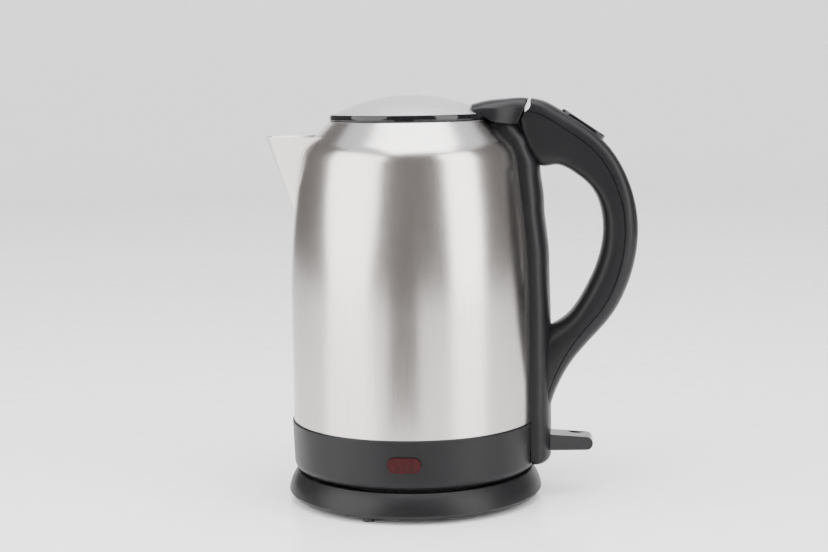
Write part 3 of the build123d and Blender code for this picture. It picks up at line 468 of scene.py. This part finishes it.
# ---------------------------------------------------------------- vessel and spout
@dataclass
class Vessel:
    """Steel body with its open mouth, and the pouring spout with its weld bead."""
    radius: float = field(default_factory=lambda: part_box("body_shell")[1].x / MM)
    mouth: float = field(default_factory=lambda: top_of("body_shell"))
    mouth_radius: float = 48.8
    steel: float = 0.8
    crown_height: float = 110.0
    crown_curve: float = 510.0
    shoulder_curve: float = 20.0
    collar_top: float = 48.5
    neck_inset: float = 3.2
    spout_reach: float = 14.0
    spout_drop: float = 8.6
    spout_root: float = 60.0
    spout_half: float = 26.0
    spout_nose: float = 6.0
    bead_width: float = 3.4
    bead_height: float = 0.9

    def lean(self) -> float:
        """Angle in radians at which the long curve hands over to the shoulder."""
        start = self.radius + self.mouth - self.crown_height - self.crown_curve
        reach = self.mouth_radius + self.mouth - start - math.sqrt(2) * self.shoulder_curve
        return math.asin(reach / (self.crown_curve - self.shoulder_curve) / math.sqrt(2)) - math.pi / 4

    def shoulder_centre(self) -> tuple[float, float]:
        """Centre of the shoulder's arc, on the line of the long curve's radius."""
        lean = self.lean()
        rest = self.crown_curve - self.shoulder_curve
        start = self.mouth - self.crown_height
        return self.radius - self.crown_curve + rest * math.cos(lean), start + rest * math.sin(lean)

    def wall(self, inset: float) -> np.ndarray:
        """Wall line from the collar's top to the mouth: straight, long curve, shoulder, slope.

        Args:
            inset: how far the line is moved inwards.

        Returns:
            Array of radii and heights.
        """
        start = self.mouth - self.crown_height
        lean = math.degrees(self.lean())
        sx, sz = self.shoulder_centre()
        cx = self.radius - self.crown_curve
        straight = np.column_stack([np.full(8, self.radius - inset), np.linspace(self.collar_top, start, 8)])
        long = arc(cx, start, self.crown_curve - inset, 0.0, lean, 26)[1:]
        short = arc(sx, sz, self.shoulder_curve - inset, lean, 45.0, 16)[1:]
        rise = np.linspace(short[-1, 1], self.mouth, 6)[1:]
        slope = np.column_stack([short[-1, 0] - (rise - short[-1, 1]), rise])
        return np.vstack([straight, long, short, slope])

    def radius_at(self, z: np.ndarray) -> np.ndarray:
        """Radius of the wall's outside at given heights, read off the wall line."""
        line = self.wall(0.0)
        return np.interp(z, line[:, 1], line[:, 0])

    def make_body(self) -> bpy.types.Object:
        """Steel body: outer wall up, over the mouth's edge and down inside, with a stepped neck."""
        outer = self.wall(0.0)
        inner = self.wall(self.steel)[::-1]
        inner[-1, 1] += self.steel
        neck = self.radius - self.neck_inset
        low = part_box("body_shell")[0].z / MM
        top = self.collar_top
        foot = np.array([(neck - self.steel, top + self.steel), (neck - self.steel, low), (neck, low),
                         (neck, top)])
        body = mesh_object("steel_body", turned(np.vstack([outer, inner, foot]), 240), ring_u=True)
        carve(body, [self.make_throat(), self.make_steam_hole()])
        return dress(body, BRUSHED_STEEL, "kettle", "body_shell")

    def make_steam_hole(self) -> bpy.types.Object:
        """Round cutter along X where the steam tube's grommet passes the wall."""
        low, high = (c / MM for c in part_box("steam_grommet"))
        middle = (low + high) / 2
        ring = arc(middle.y, middle.z, (high.z - low.z) / 2 + 0.15, 0, 345, 24)
        ends = np.array([middle.x - 20, middle.x + 20])
        grid = np.stack([np.column_stack([np.full(len(ring), x), ring]) for x in ends])
        return mesh_object("steam_hole_cutter", grid)

    def spout_rows(self, inset: float, z: np.ndarray, reach: float) -> np.ndarray:
        """Rounded V in plan at each height, from one side round the nose to the other.

        A side runs from the nose's arc to where it meets the wall, less a reach. The nose is
        an arc that touches both sides.

        Args:
            inset: how far the V is moved inwards.
            z: heights of the rows.
            reach: how far the sides run on inside the wall line.

        Returns:
            Grid (heights, places along the V, 3).
        """
        share = (z - (self.mouth - self.spout_root)) / (self.spout_root - self.spout_drop)
        root = -(self.radius - 3.8)
        tip = root + (-(self.radius + self.spout_reach) - root) * share + inset
        half = 3.0 + (self.spout_half - 3.0) * share - inset
        nose = np.maximum(0.6 + (self.spout_nose - 0.6) * share - inset * 0.5, 0.15)
        opening = np.arctan2(half, -(self.mouth_radius - 3.0) - tip)
        corner = tip - nose * (1 / np.sin(opening) - 1)
        wall = self.radius_at(z) - reach
        along = corner * np.cos(opening)
        far = -along - np.sqrt(np.maximum(along ** 2 - corner ** 2 + wall ** 2, 0.0))
        near = nose / np.tan(opening)
        t = np.linspace(1, 0, 22)
        run = np.minimum(near, far)[:, None] + (far - np.minimum(near, far))[:, None] * t
        side_x = corner[:, None] + run * np.cos(opening)[:, None]
        side_y = run * np.sin(opening)[:, None]
        turn = (np.pi / 2 - opening)[:, None] * np.linspace(1, -1, 21)[1:-1]
        nose_x = (corner + nose / np.sin(opening))[:, None] - nose[:, None] * np.cos(turn)
        nose_y = nose[:, None] * np.sin(turn)
        x = np.hstack([side_x, nose_x, side_x[:, ::-1]])
        y = np.hstack([side_y, nose_y, -side_y[:, ::-1]])
        return np.stack([x, y, np.repeat(z[:, None], x.shape[1], axis=1)], axis=-1)

    def root_height(self) -> float:
        """Height at which the spout's front edge leaves the wall."""
        z = np.linspace(self.mouth - self.spout_root, self.mouth - self.spout_drop, 400)
        share = (z - z[0]) / (z[-1] - z[0])
        tip = (self.radius - 3.8) + (self.spout_reach + 3.8) * share
        return float(z[np.argmax(tip > self.radius_at(z))])

    def make_spout(self) -> bpy.types.Object:
        """Open channel of sheet steel, narrow at the root and widest at its level rim."""
        top = self.mouth - self.spout_drop
        z = np.linspace(self.root_height() + 0.4, top, 40)
        outer = self.spout_rows(0.0, z, 0.3)
        inner = self.spout_rows(self.steel, z, 0.3)[:, ::-1]
        spout = mesh_object("pouring_spout", np.concatenate([outer, inner], axis=1), crease=30.0)
        return dress(spout, BRUSHED_STEEL, "kettle", "spout")

    def make_throat(self) -> bpy.types.Object:
        """Cutter for the window behind the spout."""
        top = self.mouth - self.spout_drop - 6.0
        z = np.linspace(self.root_height() + 8.0, top, 12)
        rows = self.spout_rows(3 * self.steel, z, 12.0)
        return mesh_object("throat_cutter", rows)

    def make_bead(self) -> bpy.types.Object:
        """Weld bead along the junction: a low rounded ridge that narrows to the root.

        The path runs down one side, round the root and up the other. Across it the ridge is
        a half sine of its height, laid out along the wall.
        """
        top = self.mouth - self.spout_drop
        z = np.linspace(self.root_height() + 0.6, top + 0.2, 48)
        edge = self.spout_rows(0.0, z, 0.0)[:, 0]
        path = np.vstack([edge[::-1], edge * [1, -1, 1]])
        share = np.abs(np.linspace(1, -1, len(path)))
        azimuth = np.arctan2(path[:, 1], -path[:, 0])
        side = np.where(np.arange(len(path)) < len(edge), 1, -1)
        width = 1.0 + (self.bead_width - 1.0) * share ** 1.4
        t = np.linspace(0, 1, 13)
        outwards = azimuth[:, None] + side[:, None] * width[:, None] * t / self.radius
        lift = self.bead_height * np.sin(np.pi * t) ** 0.6
        wall = self.radius_at(path[:, 2])[:, None]
        level = path[:, 2, None] - 0.6 * (1 - share[:, None]) * t
        r_top, r_low = wall + lift, wall - 0.5 + 0 * lift
        r = np.hstack([r_top, r_low[:, ::-1]])
        a = np.hstack([outwards, outwards[:, ::-1]])
        z2 = np.hstack([level, level[:, ::-1]])
        grid = np.stack([-r * np.cos(a), r * np.sin(a), z2], axis=-1)
        return dress(mesh_object("spout_bead", grid, crease=60.0), BRUSHED_STEEL, "kettle")


# ---------------------------------------------------------------- lid
@dataclass
class Lid:
    """Domed lid with its gloss rim and the hinge cover behind it."""
    mouth: float = field(default_factory=lambda: top_of("body_shell"))
    rim_radius: float = 48.5
    rim_height: float = 4.3
    rim_width: float = 5.0
    dome_rise: float = 15.4
    wall: float = 1.2
    tail_half: float = 21.0
    tail_half_rear: float = 15.5
    tail_corner: float = 0.42
    tail_power: float = 5.5
    rear_lean: float = 25.5
    rear_round: float = 0.8
    rear_swell: float = 0.7
    hollow_half: float = 12.6
    hollow_top: float = 11.4

    def make_dome(self) -> bpy.types.Object:
        """Shallow dome: a sphere's cap through the rim's ledge and the crown, with an inner skin."""
        edge = self.rim_radius - 1.25
        rise = self.dome_rise - self.rim_height + 1.0
        radius = (edge ** 2 + rise ** 2) / (2 * rise)
        low = self.mouth + self.rim_height - 1.0
        centre = low + rise - radius
        start = math.degrees(math.asin((low - centre) / radius))
        skin = arc(0, centre, radius, start, 90, 40)
        under = arc(0, centre, radius - self.wall, 90, start + 0.4, 40)
        under[:, 1] = np.maximum(under[:, 1], low)
        dome = mesh_object("lid_dome", turned(np.vstack([skin, under])), ring_u=True, crease=50.0)
        return dress(dome, SATIN_STEEL, "lid", "lid_cap")

    def make_rim(self) -> bpy.types.Object:
        """Gloss ring with soft edges round the dome."""
        low, top = self.mouth + 0.3, self.mouth + self.rim_height
        r = self.rim_radius
        corners = [(r - self.rim_width, low), (r - 0.3, low), (r, low + 1.6), (r - 0.2, top), (r - 1.5, top),
                   (r - 1.5, top - 1.1), (r - self.rim_width, top - 1.1)]
        rim = mesh_object("lid_rim_ring", turned(rounded_loop(corners, 0.7)), ring_u=True, crease=60.0)
        return dress(rim, GLOSS_BLACK, "lid", "lid_rim")

    def tail_lines(self, count: int) -> tuple[np.ndarray, np.ndarray]:
        """Top line and bottom line of the hinge cover, from the dome to its leaning rear."""
        m = self.mouth
        top = spline([(36.9, m + 9.5), (41.6, m + 10.7), (47.5, m + 11.8), (56.7, m + 12.5),
                      (65.3, m + 13.0), (69.8, m + 12.7)], count)
        low = spline([(41.0, m + 2.6), (44.5, m + 2.3), (49.4, m - 0.4), (54.0, m - 1.2),
                      (60.0, m - 1.9), (63.2, m - 1.8)], count)
        return top, low

    def tail_rear(self, last: np.ndarray, middle: np.ndarray) -> np.ndarray:
        """Sections that close the rear: moved out by the sine of a quarter turn and drawn in by its cosine.

        Args:
            last: the last full section, rows of (x, y, z).
            middle: x and z of that section's middle.

        Returns:
            Array (8, places, 3).
        """
        turn = np.linspace(0.0, 1.0, 9)[1:, None] * math.pi / 2
        inward = (1 - np.cos(turn)) * self.rear_round
        out = np.sin(turn) * self.rear_swell
        lean = math.radians(self.rear_lean)
        scale = 1 - inward / 12.0
        x = middle[0] + (last[:, 0] - middle[0]) * scale + math.cos(lean) * out
        y = last[:, 1] * (1 - inward / self.tail_half_rear / 1.4)
        z = middle[1] + (last[:, 2] - middle[1]) * scale - math.sin(lean) * out
        return np.stack([x, y, z], axis=-1)

    def make_tail(self) -> bpy.types.Object:
        """Hinge cover: rounded sections carried from the dome to the leaning rear.

        Across a section the height is 1 - c |t|^p of the way from its bottom to its top point,
        where c is how far the corners drop. The rear end closes with a quarter round.
        """
        count = 44
        top, low = self.tail_lines(count)
        s = np.linspace(0, 1, count)
        half = graded([(0.0, self.tail_half), (0.35, self.tail_half - 0.2), (1.0, self.tail_half_rear)], s)
        t = np.linspace(-1, 1, 61)
        height = 1 - self.tail_corner * np.abs(t) ** self.tail_power
        crest = low[:, None] + (top - low)[:, None] * height[None, :, None]
        y = half[:, None] * np.sign(t) * np.abs(t) ** 0.8
        foot = low[:, None] + 0 * crest
        x = np.hstack([crest[..., 0], foot[..., 0]])
        z = np.hstack([crest[..., 1], foot[..., 1]])
        grid = np.stack([x, np.hstack([y, y[:, ::-1]]), z], axis=-1)
        middle = np.array([top[-1], low[-1]]).mean(axis=0)
        tail = mesh_object("hinge_cover", np.concatenate([grid, self.tail_rear(grid[-1], middle)]), crease=50.0)
        hollow = block("tail_hollow", (51.2, -self.hollow_half, self.mouth - 8),
                       (74.0, self.hollow_half, self.mouth + self.hollow_top), 2.0)
        carve(tail, [hollow], crease=50.0)
        return dress(tail, BLACK_PLASTIC, "lid", "lid_tail")


# ---------------------------------------------------------------- handle
@dataclass
class Handle:
    """Grip with its seam line and button opening, strip along the body, and hinge ears."""
    radius: float = field(default_factory=lambda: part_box("body_shell")[1].x / MM)
    mouth: float = field(default_factory=lambda: top_of("body_shell"))
    collar_top: float = 48.5
    collar_radius: float = field(default_factory=lambda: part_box("skirt")[1].x / MM)
    grip_half: float = 14.0
    tail_half: float = 15.3
    strip_half: float = 20.0
    seam_depth: float = 8.0
    seam_width: float = 0.9
    seam_cut: float = 0.55
    top_power: float = 4.6
    power: float = 2.9
    button_length: float = 30.0
    button_width: float = 14.0
    button_gap: float = 0.6
    button_depth: float = 4.6
    ear_place: float = 8.5
    ear_thickness: float = 2.4
    ear_radius: float = 1.9
    lever_gap: float = 0.3
    lever_slot_low: float = 25.2
    lever_slot_high: float = 40.0
    foot: float = 21.2
    foot_curve: float = 5.0
    strip_back: float = 0.35
    strip_power: float = 3.4
    swing_room: float = 5.3

    def ribs(self, count: int) -> np.ndarray:
        """Pairs of an outer and an inner point of the grip, from the lid down to the foot.

        Args:
            count: number of pairs.

        Returns:
            Array of rows (outer x, outer z, inner x, inner z).
        """
        b, m, s = self.radius, self.mouth, self.collar_top
        pairs = [
            (b - 1.2, m + 12.6, b - 8.0, m - 1.8), (b + 7.4, m + 10.4, b - 4.5, m - 16.0),
            (b + 16.5, m + 5.2, b + 3.0, m - 26.6), (b + 31.5, m - 4.6, b + 13.0, m - 26.8),
            (b + 46.6, m - 19.2, b + 25.5, m - 32.6), (b + 57.4, m - 40.6, b + 36.2, m - 44.0),
            (b + 61.6, m - 67.0, b + 40.8, m - 66.0), (b + 58.7, s + 90.2, b + 38.4, s + 97.0),
            (b + 47.7, s + 64.2, b + 32.0, s + 81.0), (b + 32.0, s + 45.5, b + 22.0, s + 64.6),
            (b + 18.9, s + 28.5, b + 12.4, s + 57.0), (b + 11.5, s + 12.8, b + 4.0, s + 50.0),
            (b + 8.6, s + 2.0, b + 0.6, s + 30.0),
        ]
        return spline(pairs, count)

    def seam_loop(self, depth: np.ndarray, half: np.ndarray,
                  power: np.ndarray) -> tuple[np.ndarray, np.ndarray]:
        """Section outline: a superellipse with a narrow groove at the seam's depth.

        Across, y = half * sin^(2/p); inwards, d = depth * (1 - cos^(2/p)) / 2, with the signs of
        the sine and the cosine kept. Extra places fall on the groove's edges.

        Args:
            depth: distance from the outer to the inner line at each station.
            half: half-width at each station.
            power: the superellipse's power p at each station.

        Returns:
            Depths and half-widths, each (stations, places).
        """
        edge = self.seam_width / 2
        marks = self.seam_depth + np.array([-edge, -edge / 3, edge / 3, edge])
        p = power[:, None]
        cosine = 1 - 2 * marks[None] / depth[:, None]
        angles = np.arccos(np.clip(np.sign(cosine) * np.abs(cosine) ** (p / 2), -0.99, 0.99))
        share = np.linspace(0, 1, 15)
        first = angles[:, :1] * share[:-1]
        last = angles[:, 3:] + (math.pi - angles[:, 3:]) * share
        t = np.hstack([first, angles[:, :3], last])
        groove = np.zeros_like(t)
        groove[:, 15:17] = self.seam_cut
        c, n = np.cos(t), np.sin(t)
        inwards = depth[:, None] * (1 - np.sign(c) * np.abs(c) ** (2 / p)) / 2
        across = half[:, None] * np.abs(n) ** (2 / p) - groove
        across = np.maximum(across, 0.0)
        return np.hstack([inwards, inwards[:, -2:0:-1]]), np.hstack([across, -across[:, -2:0:-1]])

    def make_grip(self) -> bpy.types.Object:
        """Grip: seamed sections carried along the ribs, with the button's opening cut in."""
        count = 150
        ribs = self.ribs(count)
        outer, inner = ribs[:, :2], ribs[:, 2:]
        gap = inner - outer
        depth = np.linalg.norm(gap, axis=1)
        stations = np.linspace(0, 1, count)
        half = graded([(0.0, self.tail_half), (0.2, self.grip_half), (1.0, self.grip_half)], stations)
        power = graded([(0.0, self.top_power), (0.26, self.top_power), (0.45, self.power),
                        (1.0, self.power)], stations)
        inwards, across = self.seam_loop(depth, half, power)
        place = outer[:, None] + gap[:, None] * (inwards / depth[:, None])[..., None]
        grid = np.stack([place[..., 0], across, place[..., 1]], axis=-1)
        grip = mesh_object("handle_grip", grid, crease=55.0)
        carve(grip, [self.make_button_opening(), self.make_swing_room()], crease=55.0)
        return dress(grip, BLACK_PLASTIC, "kettle", "handle_cover")

    def button_frame(self) -> tuple[np.ndarray, np.ndarray, np.ndarray]:
        """Middle of the button, the way down along it and the way out of the grip."""
        low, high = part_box("lid_button")
        middle = np.array([(low.x + high.x) / 2, 0.0, (low.z + high.z) / 2]) / MM
        slope = math.radians(34.0)
        down = np.array([math.cos(slope), 0.0, -math.sin(slope)])
        out = np.array([math.sin(slope), 0.0, math.cos(slope)])
        return middle, down, out

    def make_button_opening(self) -> bpy.types.Object:
        """Oval cutter for the button's opening."""
        middle, down, out = self.button_frame()
        oval = capsule(self.button_length + 2 * self.button_gap + 1.0,
                       self.button_width + 2 * self.button_gap)
        ring = middle + oval[:, :1] * down + oval[:, 1:] * np.array([0.0, 1.0, 0.0])
        return mesh_object("button_cutter", np.stack([ring - out * self.button_depth, ring + out * 9.0]))

    def make_swing_room(self) -> bpy.types.Object:
        """Round cutter on the hinge's axis that leaves room for the swing of the lid's tail."""
        low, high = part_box("hinge_pin")
        ring = arc((low.x + high.x) / 2 / MM, (low.z + high.z) / 2 / MM, self.swing_room, 0, 350, 36)
        faces = np.array([-1.5, 1.5]) * self.grip_half
        grid = np.stack([np.column_stack([ring[:, 0], np.full(len(ring), y), ring[:, 1]]) for y in faces])
        return mesh_object("swing_cutter", grid)

    def make_strip(self) -> bpy.types.Object:
        """Strip along the body: its back follows the body and its front bulges outwards.

        At each height, x = sqrt(R^2 - y^2) + T (1 - |w|^p)^(1/p), where w runs from -1 to 1 across
        the half-width, R is the body's radius and T is how far the strip stands out.
        """
        b, m = self.radius, self.mouth
        foot, curve, p = self.foot, self.foot_curve, self.strip_power
        z = np.concatenate([foot + curve * (1 - np.cos(np.linspace(0, math.pi / 2, 10))),
                            np.linspace(foot + curve + 1.0, m - 1.5, 100)])
        vessel = Vessel()
        r = np.where(z > self.collar_top, vessel.radius_at(z), self.collar_radius)
        front = graded([(foot, b + 9.8), (106.0, b + 9.9), (144.0, b + 9.1), (179.0, b + 6.1),
                        (199.0, b + 4.0), (214.0, b - 1.0), (m, b - 8.5)], z)
        half = graded([(foot, self.strip_half), (178.0, self.strip_half), (212.0, 16.4), (m, 15.2)], z)
        close = np.sqrt(np.clip(1 - ((foot + curve - z) / curve).clip(0, 1) ** 2, 0, 1))
        stand = (front - r) * (0.35 + 0.65 * close)
        half = half * (0.72 + 0.28 * close)
        w = np.sin(np.linspace(-1, 1, 57) * math.pi / 2)
        y = half[:, None] * w
        bulge = (1 - np.abs(w) ** p) ** (1 / p)
        back = np.sqrt(r[:, None] ** 2 - y ** 2)
        x = np.hstack([back + stand[:, None] * bulge, (back - self.strip_back)[:, ::-1]])
        grid = np.stack([x, np.hstack([y, y[:, ::-1]]), np.repeat(z[:, None], x.shape[1], axis=1)], axis=-1)
        strip = mesh_object("handle_strip", grid, crease=50.0)
        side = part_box("switch_lever")[1].y / MM + self.lever_gap
        slot = block("lever_cutter", (self.collar_radius + 0.4, -side, self.lever_slot_low),
                     (110.0, side, self.lever_slot_high))
        carve(strip, [slot], crease=50.0)
        return dress(strip, BLACK_PLASTIC, "kettle", "handle_shell")

    def make_ears(self) -> None:
        """Two ears with round tops that carry the hinge pin under the lid's tail."""
        low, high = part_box("hinge_pin")
        x, z = (low.x + high.x) / 2 / MM, (low.z + high.z) / 2 / MM
        top = arc(x, z, self.ear_radius, 0, 180, 20)
        loop = np.vstack([top, [(x - 3.4, self.mouth - 6.0), (x + 0.9, self.mouth - 6.0)]])
        for side, name in ((-1, "hinge_ear_left"), (1, "hinge_ear_right")):
            faces = side * self.ear_place + np.array([-0.5, 0.5]) * self.ear_thickness
            grid = np.stack([np.column_stack([loop[:, 0], np.full(len(loop), y), loop[:, 1]])
                             for y in faces])
            dress(mesh_object(name, grid), BLACK_PLASTIC, "kettle")


# ---------------------------------------------------------------- stage
@dataclass
class Studio:
    """Pale cove, soft lights and the camera."""
    floor_radius: float = 3200.0
    cove_height: float = 2600.0
    flag_distance: float = 1800.0
    worktop: float = 330.0
    eye: tuple[float, float, float] = (0.0855, -0.9681, 0.2546)
    heading: float = 5.0
    pitch: float = 7.1
    roll: float = 0.81
    lens: float = 70.49

    def make_cove(self) -> None:
        """Floor that curves up into a wall all round."""
        bend = 700.0
        flat = np.column_stack([np.linspace(1.0, self.floor_radius - bend, 20), np.zeros(20)])
        curve = arc(self.floor_radius - bend, bend, bend, -90, 0, 20)[1:]
        wall = np.array([(self.floor_radius, self.cove_height)])
        grid = turned(np.vstack([flat, curve, wall]), 96)
        cove = mesh_object("cove", grid, ends=False)
        cove.data.flip_normals()
        disc = mesh_object("cove_middle", turned(np.array([(0.0, 0.0), (1.0, 0.0)]), 24), ends=False)
        for part in (cove, disc):
            part.data.materials.append(FLOOR_FINISH.material())

    def make_light(self, name: str, azimuth: float, distance: float, height: float,
                   size: tuple[float, float], power: float) -> None:
        """Soft rectangular light that faces the kettle.

        Args:
            name: name of the light.
            azimuth: degrees round from the front, to the right.
            distance: metres from the axis.
            height: metres above the floor.
            size: width and height in metres.
            power: watts.
        """
        data = bpy.data.lights.new(name, "AREA")
        data.shape = "RECTANGLE"
        data.size, data.size_y = size
        data.energy = power
        light = bpy.data.objects.new(name, data)
        a = math.radians(azimuth)
        light.location = (distance * math.sin(a), -distance * math.cos(a), height)
        aim = Vector((0, 0, 0.14)) - light.location
        light.rotation_euler = aim.to_track_quat("-Z", "Y").to_euler()
        bpy.context.scene.collection.objects.link(light)

    def make_lights(self) -> None:
        """Two tall panels for the steel's bright bands, one overhead, and a grey room."""
        self.make_light("left_panel", -57.0, 1.5, 0.62, (1.7, 1.5), 46.0)
        self.make_light("right_panel", 57.0, 1.5, 0.62, (0.95, 1.5), 30.0)
        self.make_light("overhead", 20.0, 0.35, 1.7, (1.6, 1.4), 46.0)
        world = bpy.data.worlds.new("room")
        world.use_nodes = True
        world.node_tree.nodes["Background"].inputs["Color"].default_value = (0.93, 0.95, 1.0, 1.0)
        world.node_tree.nodes["Background"].inputs["Strength"].default_value = 1.45
        bpy.context.scene.world = world

    def make_flag(self, name: str, azimuth: float, width: float) -> None:
        """Dark upright card that only reflections see, for the steel's dark bands.

        Args:
            name: name of the card.
            azimuth: degrees round from the front, to the right.
            width: degrees that it covers.
        """
        a = np.radians(azimuth + np.linspace(-0.5, 0.5, 49) * width)
        heights = np.array([-5.0, 1900.0])[:, None] + 0 * a
        reach = self.flag_distance
        flat = 0 * heights
        grid = np.stack([reach * np.sin(a) + flat, -reach * np.cos(a) + flat, heights], axis=-1)
        self.hide_from_camera(mesh_object(name, grid, ring_v=False, ends=False))

    @staticmethod
    def hide_from_camera(card: bpy.types.Object) -> None:
        """Gives a card its dark finish and leaves it to reflections alone."""
        card.data.materials.append(CARD_FINISH.material())
        card.visible_camera = False
        card.visible_diffuse = False
        card.visible_shadow = False

    def make_mat(self, name: str, azimuth: float, width: float) -> None:
        """Dark wedge on the floor that only reflections see, as beyond a worktop's edge.

        Args:
            name: name of the wedge.
            azimuth: degrees round from the front, to the right.
            width: degrees that it covers.
        """
        a = np.radians(azimuth + np.linspace(-0.5, 0.5, 25) * width)
        reach = np.linspace(self.worktop, self.flag_distance, 12)[:, None] + 0 * a
        grid = np.stack([reach * np.sin(a), -reach * np.cos(a), 0 * reach + 0.6], axis=-1)
        self.hide_from_camera(mesh_object(name, grid[::-1], ring_v=False, ends=False))

    def make_flags(self) -> None:
        """Dark room in front and to the sides, open behind."""
        self.make_flag("room_flag", -4.0, 290.0)
        self.make_mat("front_mat", -4.0, 27.0)

    def make_camera(self) -> None:
        """Camera a little to the right of the front, looking slightly down."""
        data = bpy.data.cameras.new("camera")
        data.lens = self.lens
        data.sensor_width = 36.0
        camera = bpy.data.objects.new("camera", data)
        h, p = math.radians(self.heading), math.radians(self.pitch)
        forward = Vector((-math.sin(h) * math.cos(p), math.cos(h) * math.cos(p), -math.sin(p)))
        turn = forward.to_track_quat("-Z", "Y").to_matrix().to_4x4()
        lean = Matrix.Rotation(-math.radians(self.roll), 4, "Z")
        camera.matrix_world = Matrix.Translation(self.eye) @ turn @ lean
        bpy.context.scene.collection.objects.link(camera)
        bpy.context.scene.camera = camera


def dress_nodes() -> None:
    """Gives every carried-over node the finish of its slot."""
    slots = {part["node"]: part["material_slot"] for part in frame["record"]["subparts"]}
    for name, node in frame["nodes"].items():
        node.data.materials.clear()
        node.data.materials.append(FINISHES[slots[name]].material())


def main() -> None:
    """Builds the pieces in order and reports each one."""
    logging.basicConfig(level=logging.INFO, format="%(message)s")
    dress_nodes()
    vessel = Vessel()
    vessel.make_body()
    vessel.make_spout()
    vessel.make_bead()
    lid = Lid()
    lid.make_dome()
    lid.make_rim()
    lid.make_tail()
    handle = Handle()
    handle.make_grip()
    handle.make_strip()
    handle.make_ears()
    studio = Studio()
    studio.make_cove()
    studio.make_lights()
    studio.make_flags()
    studio.make_camera()


if __name__ == "__main__":
    main()
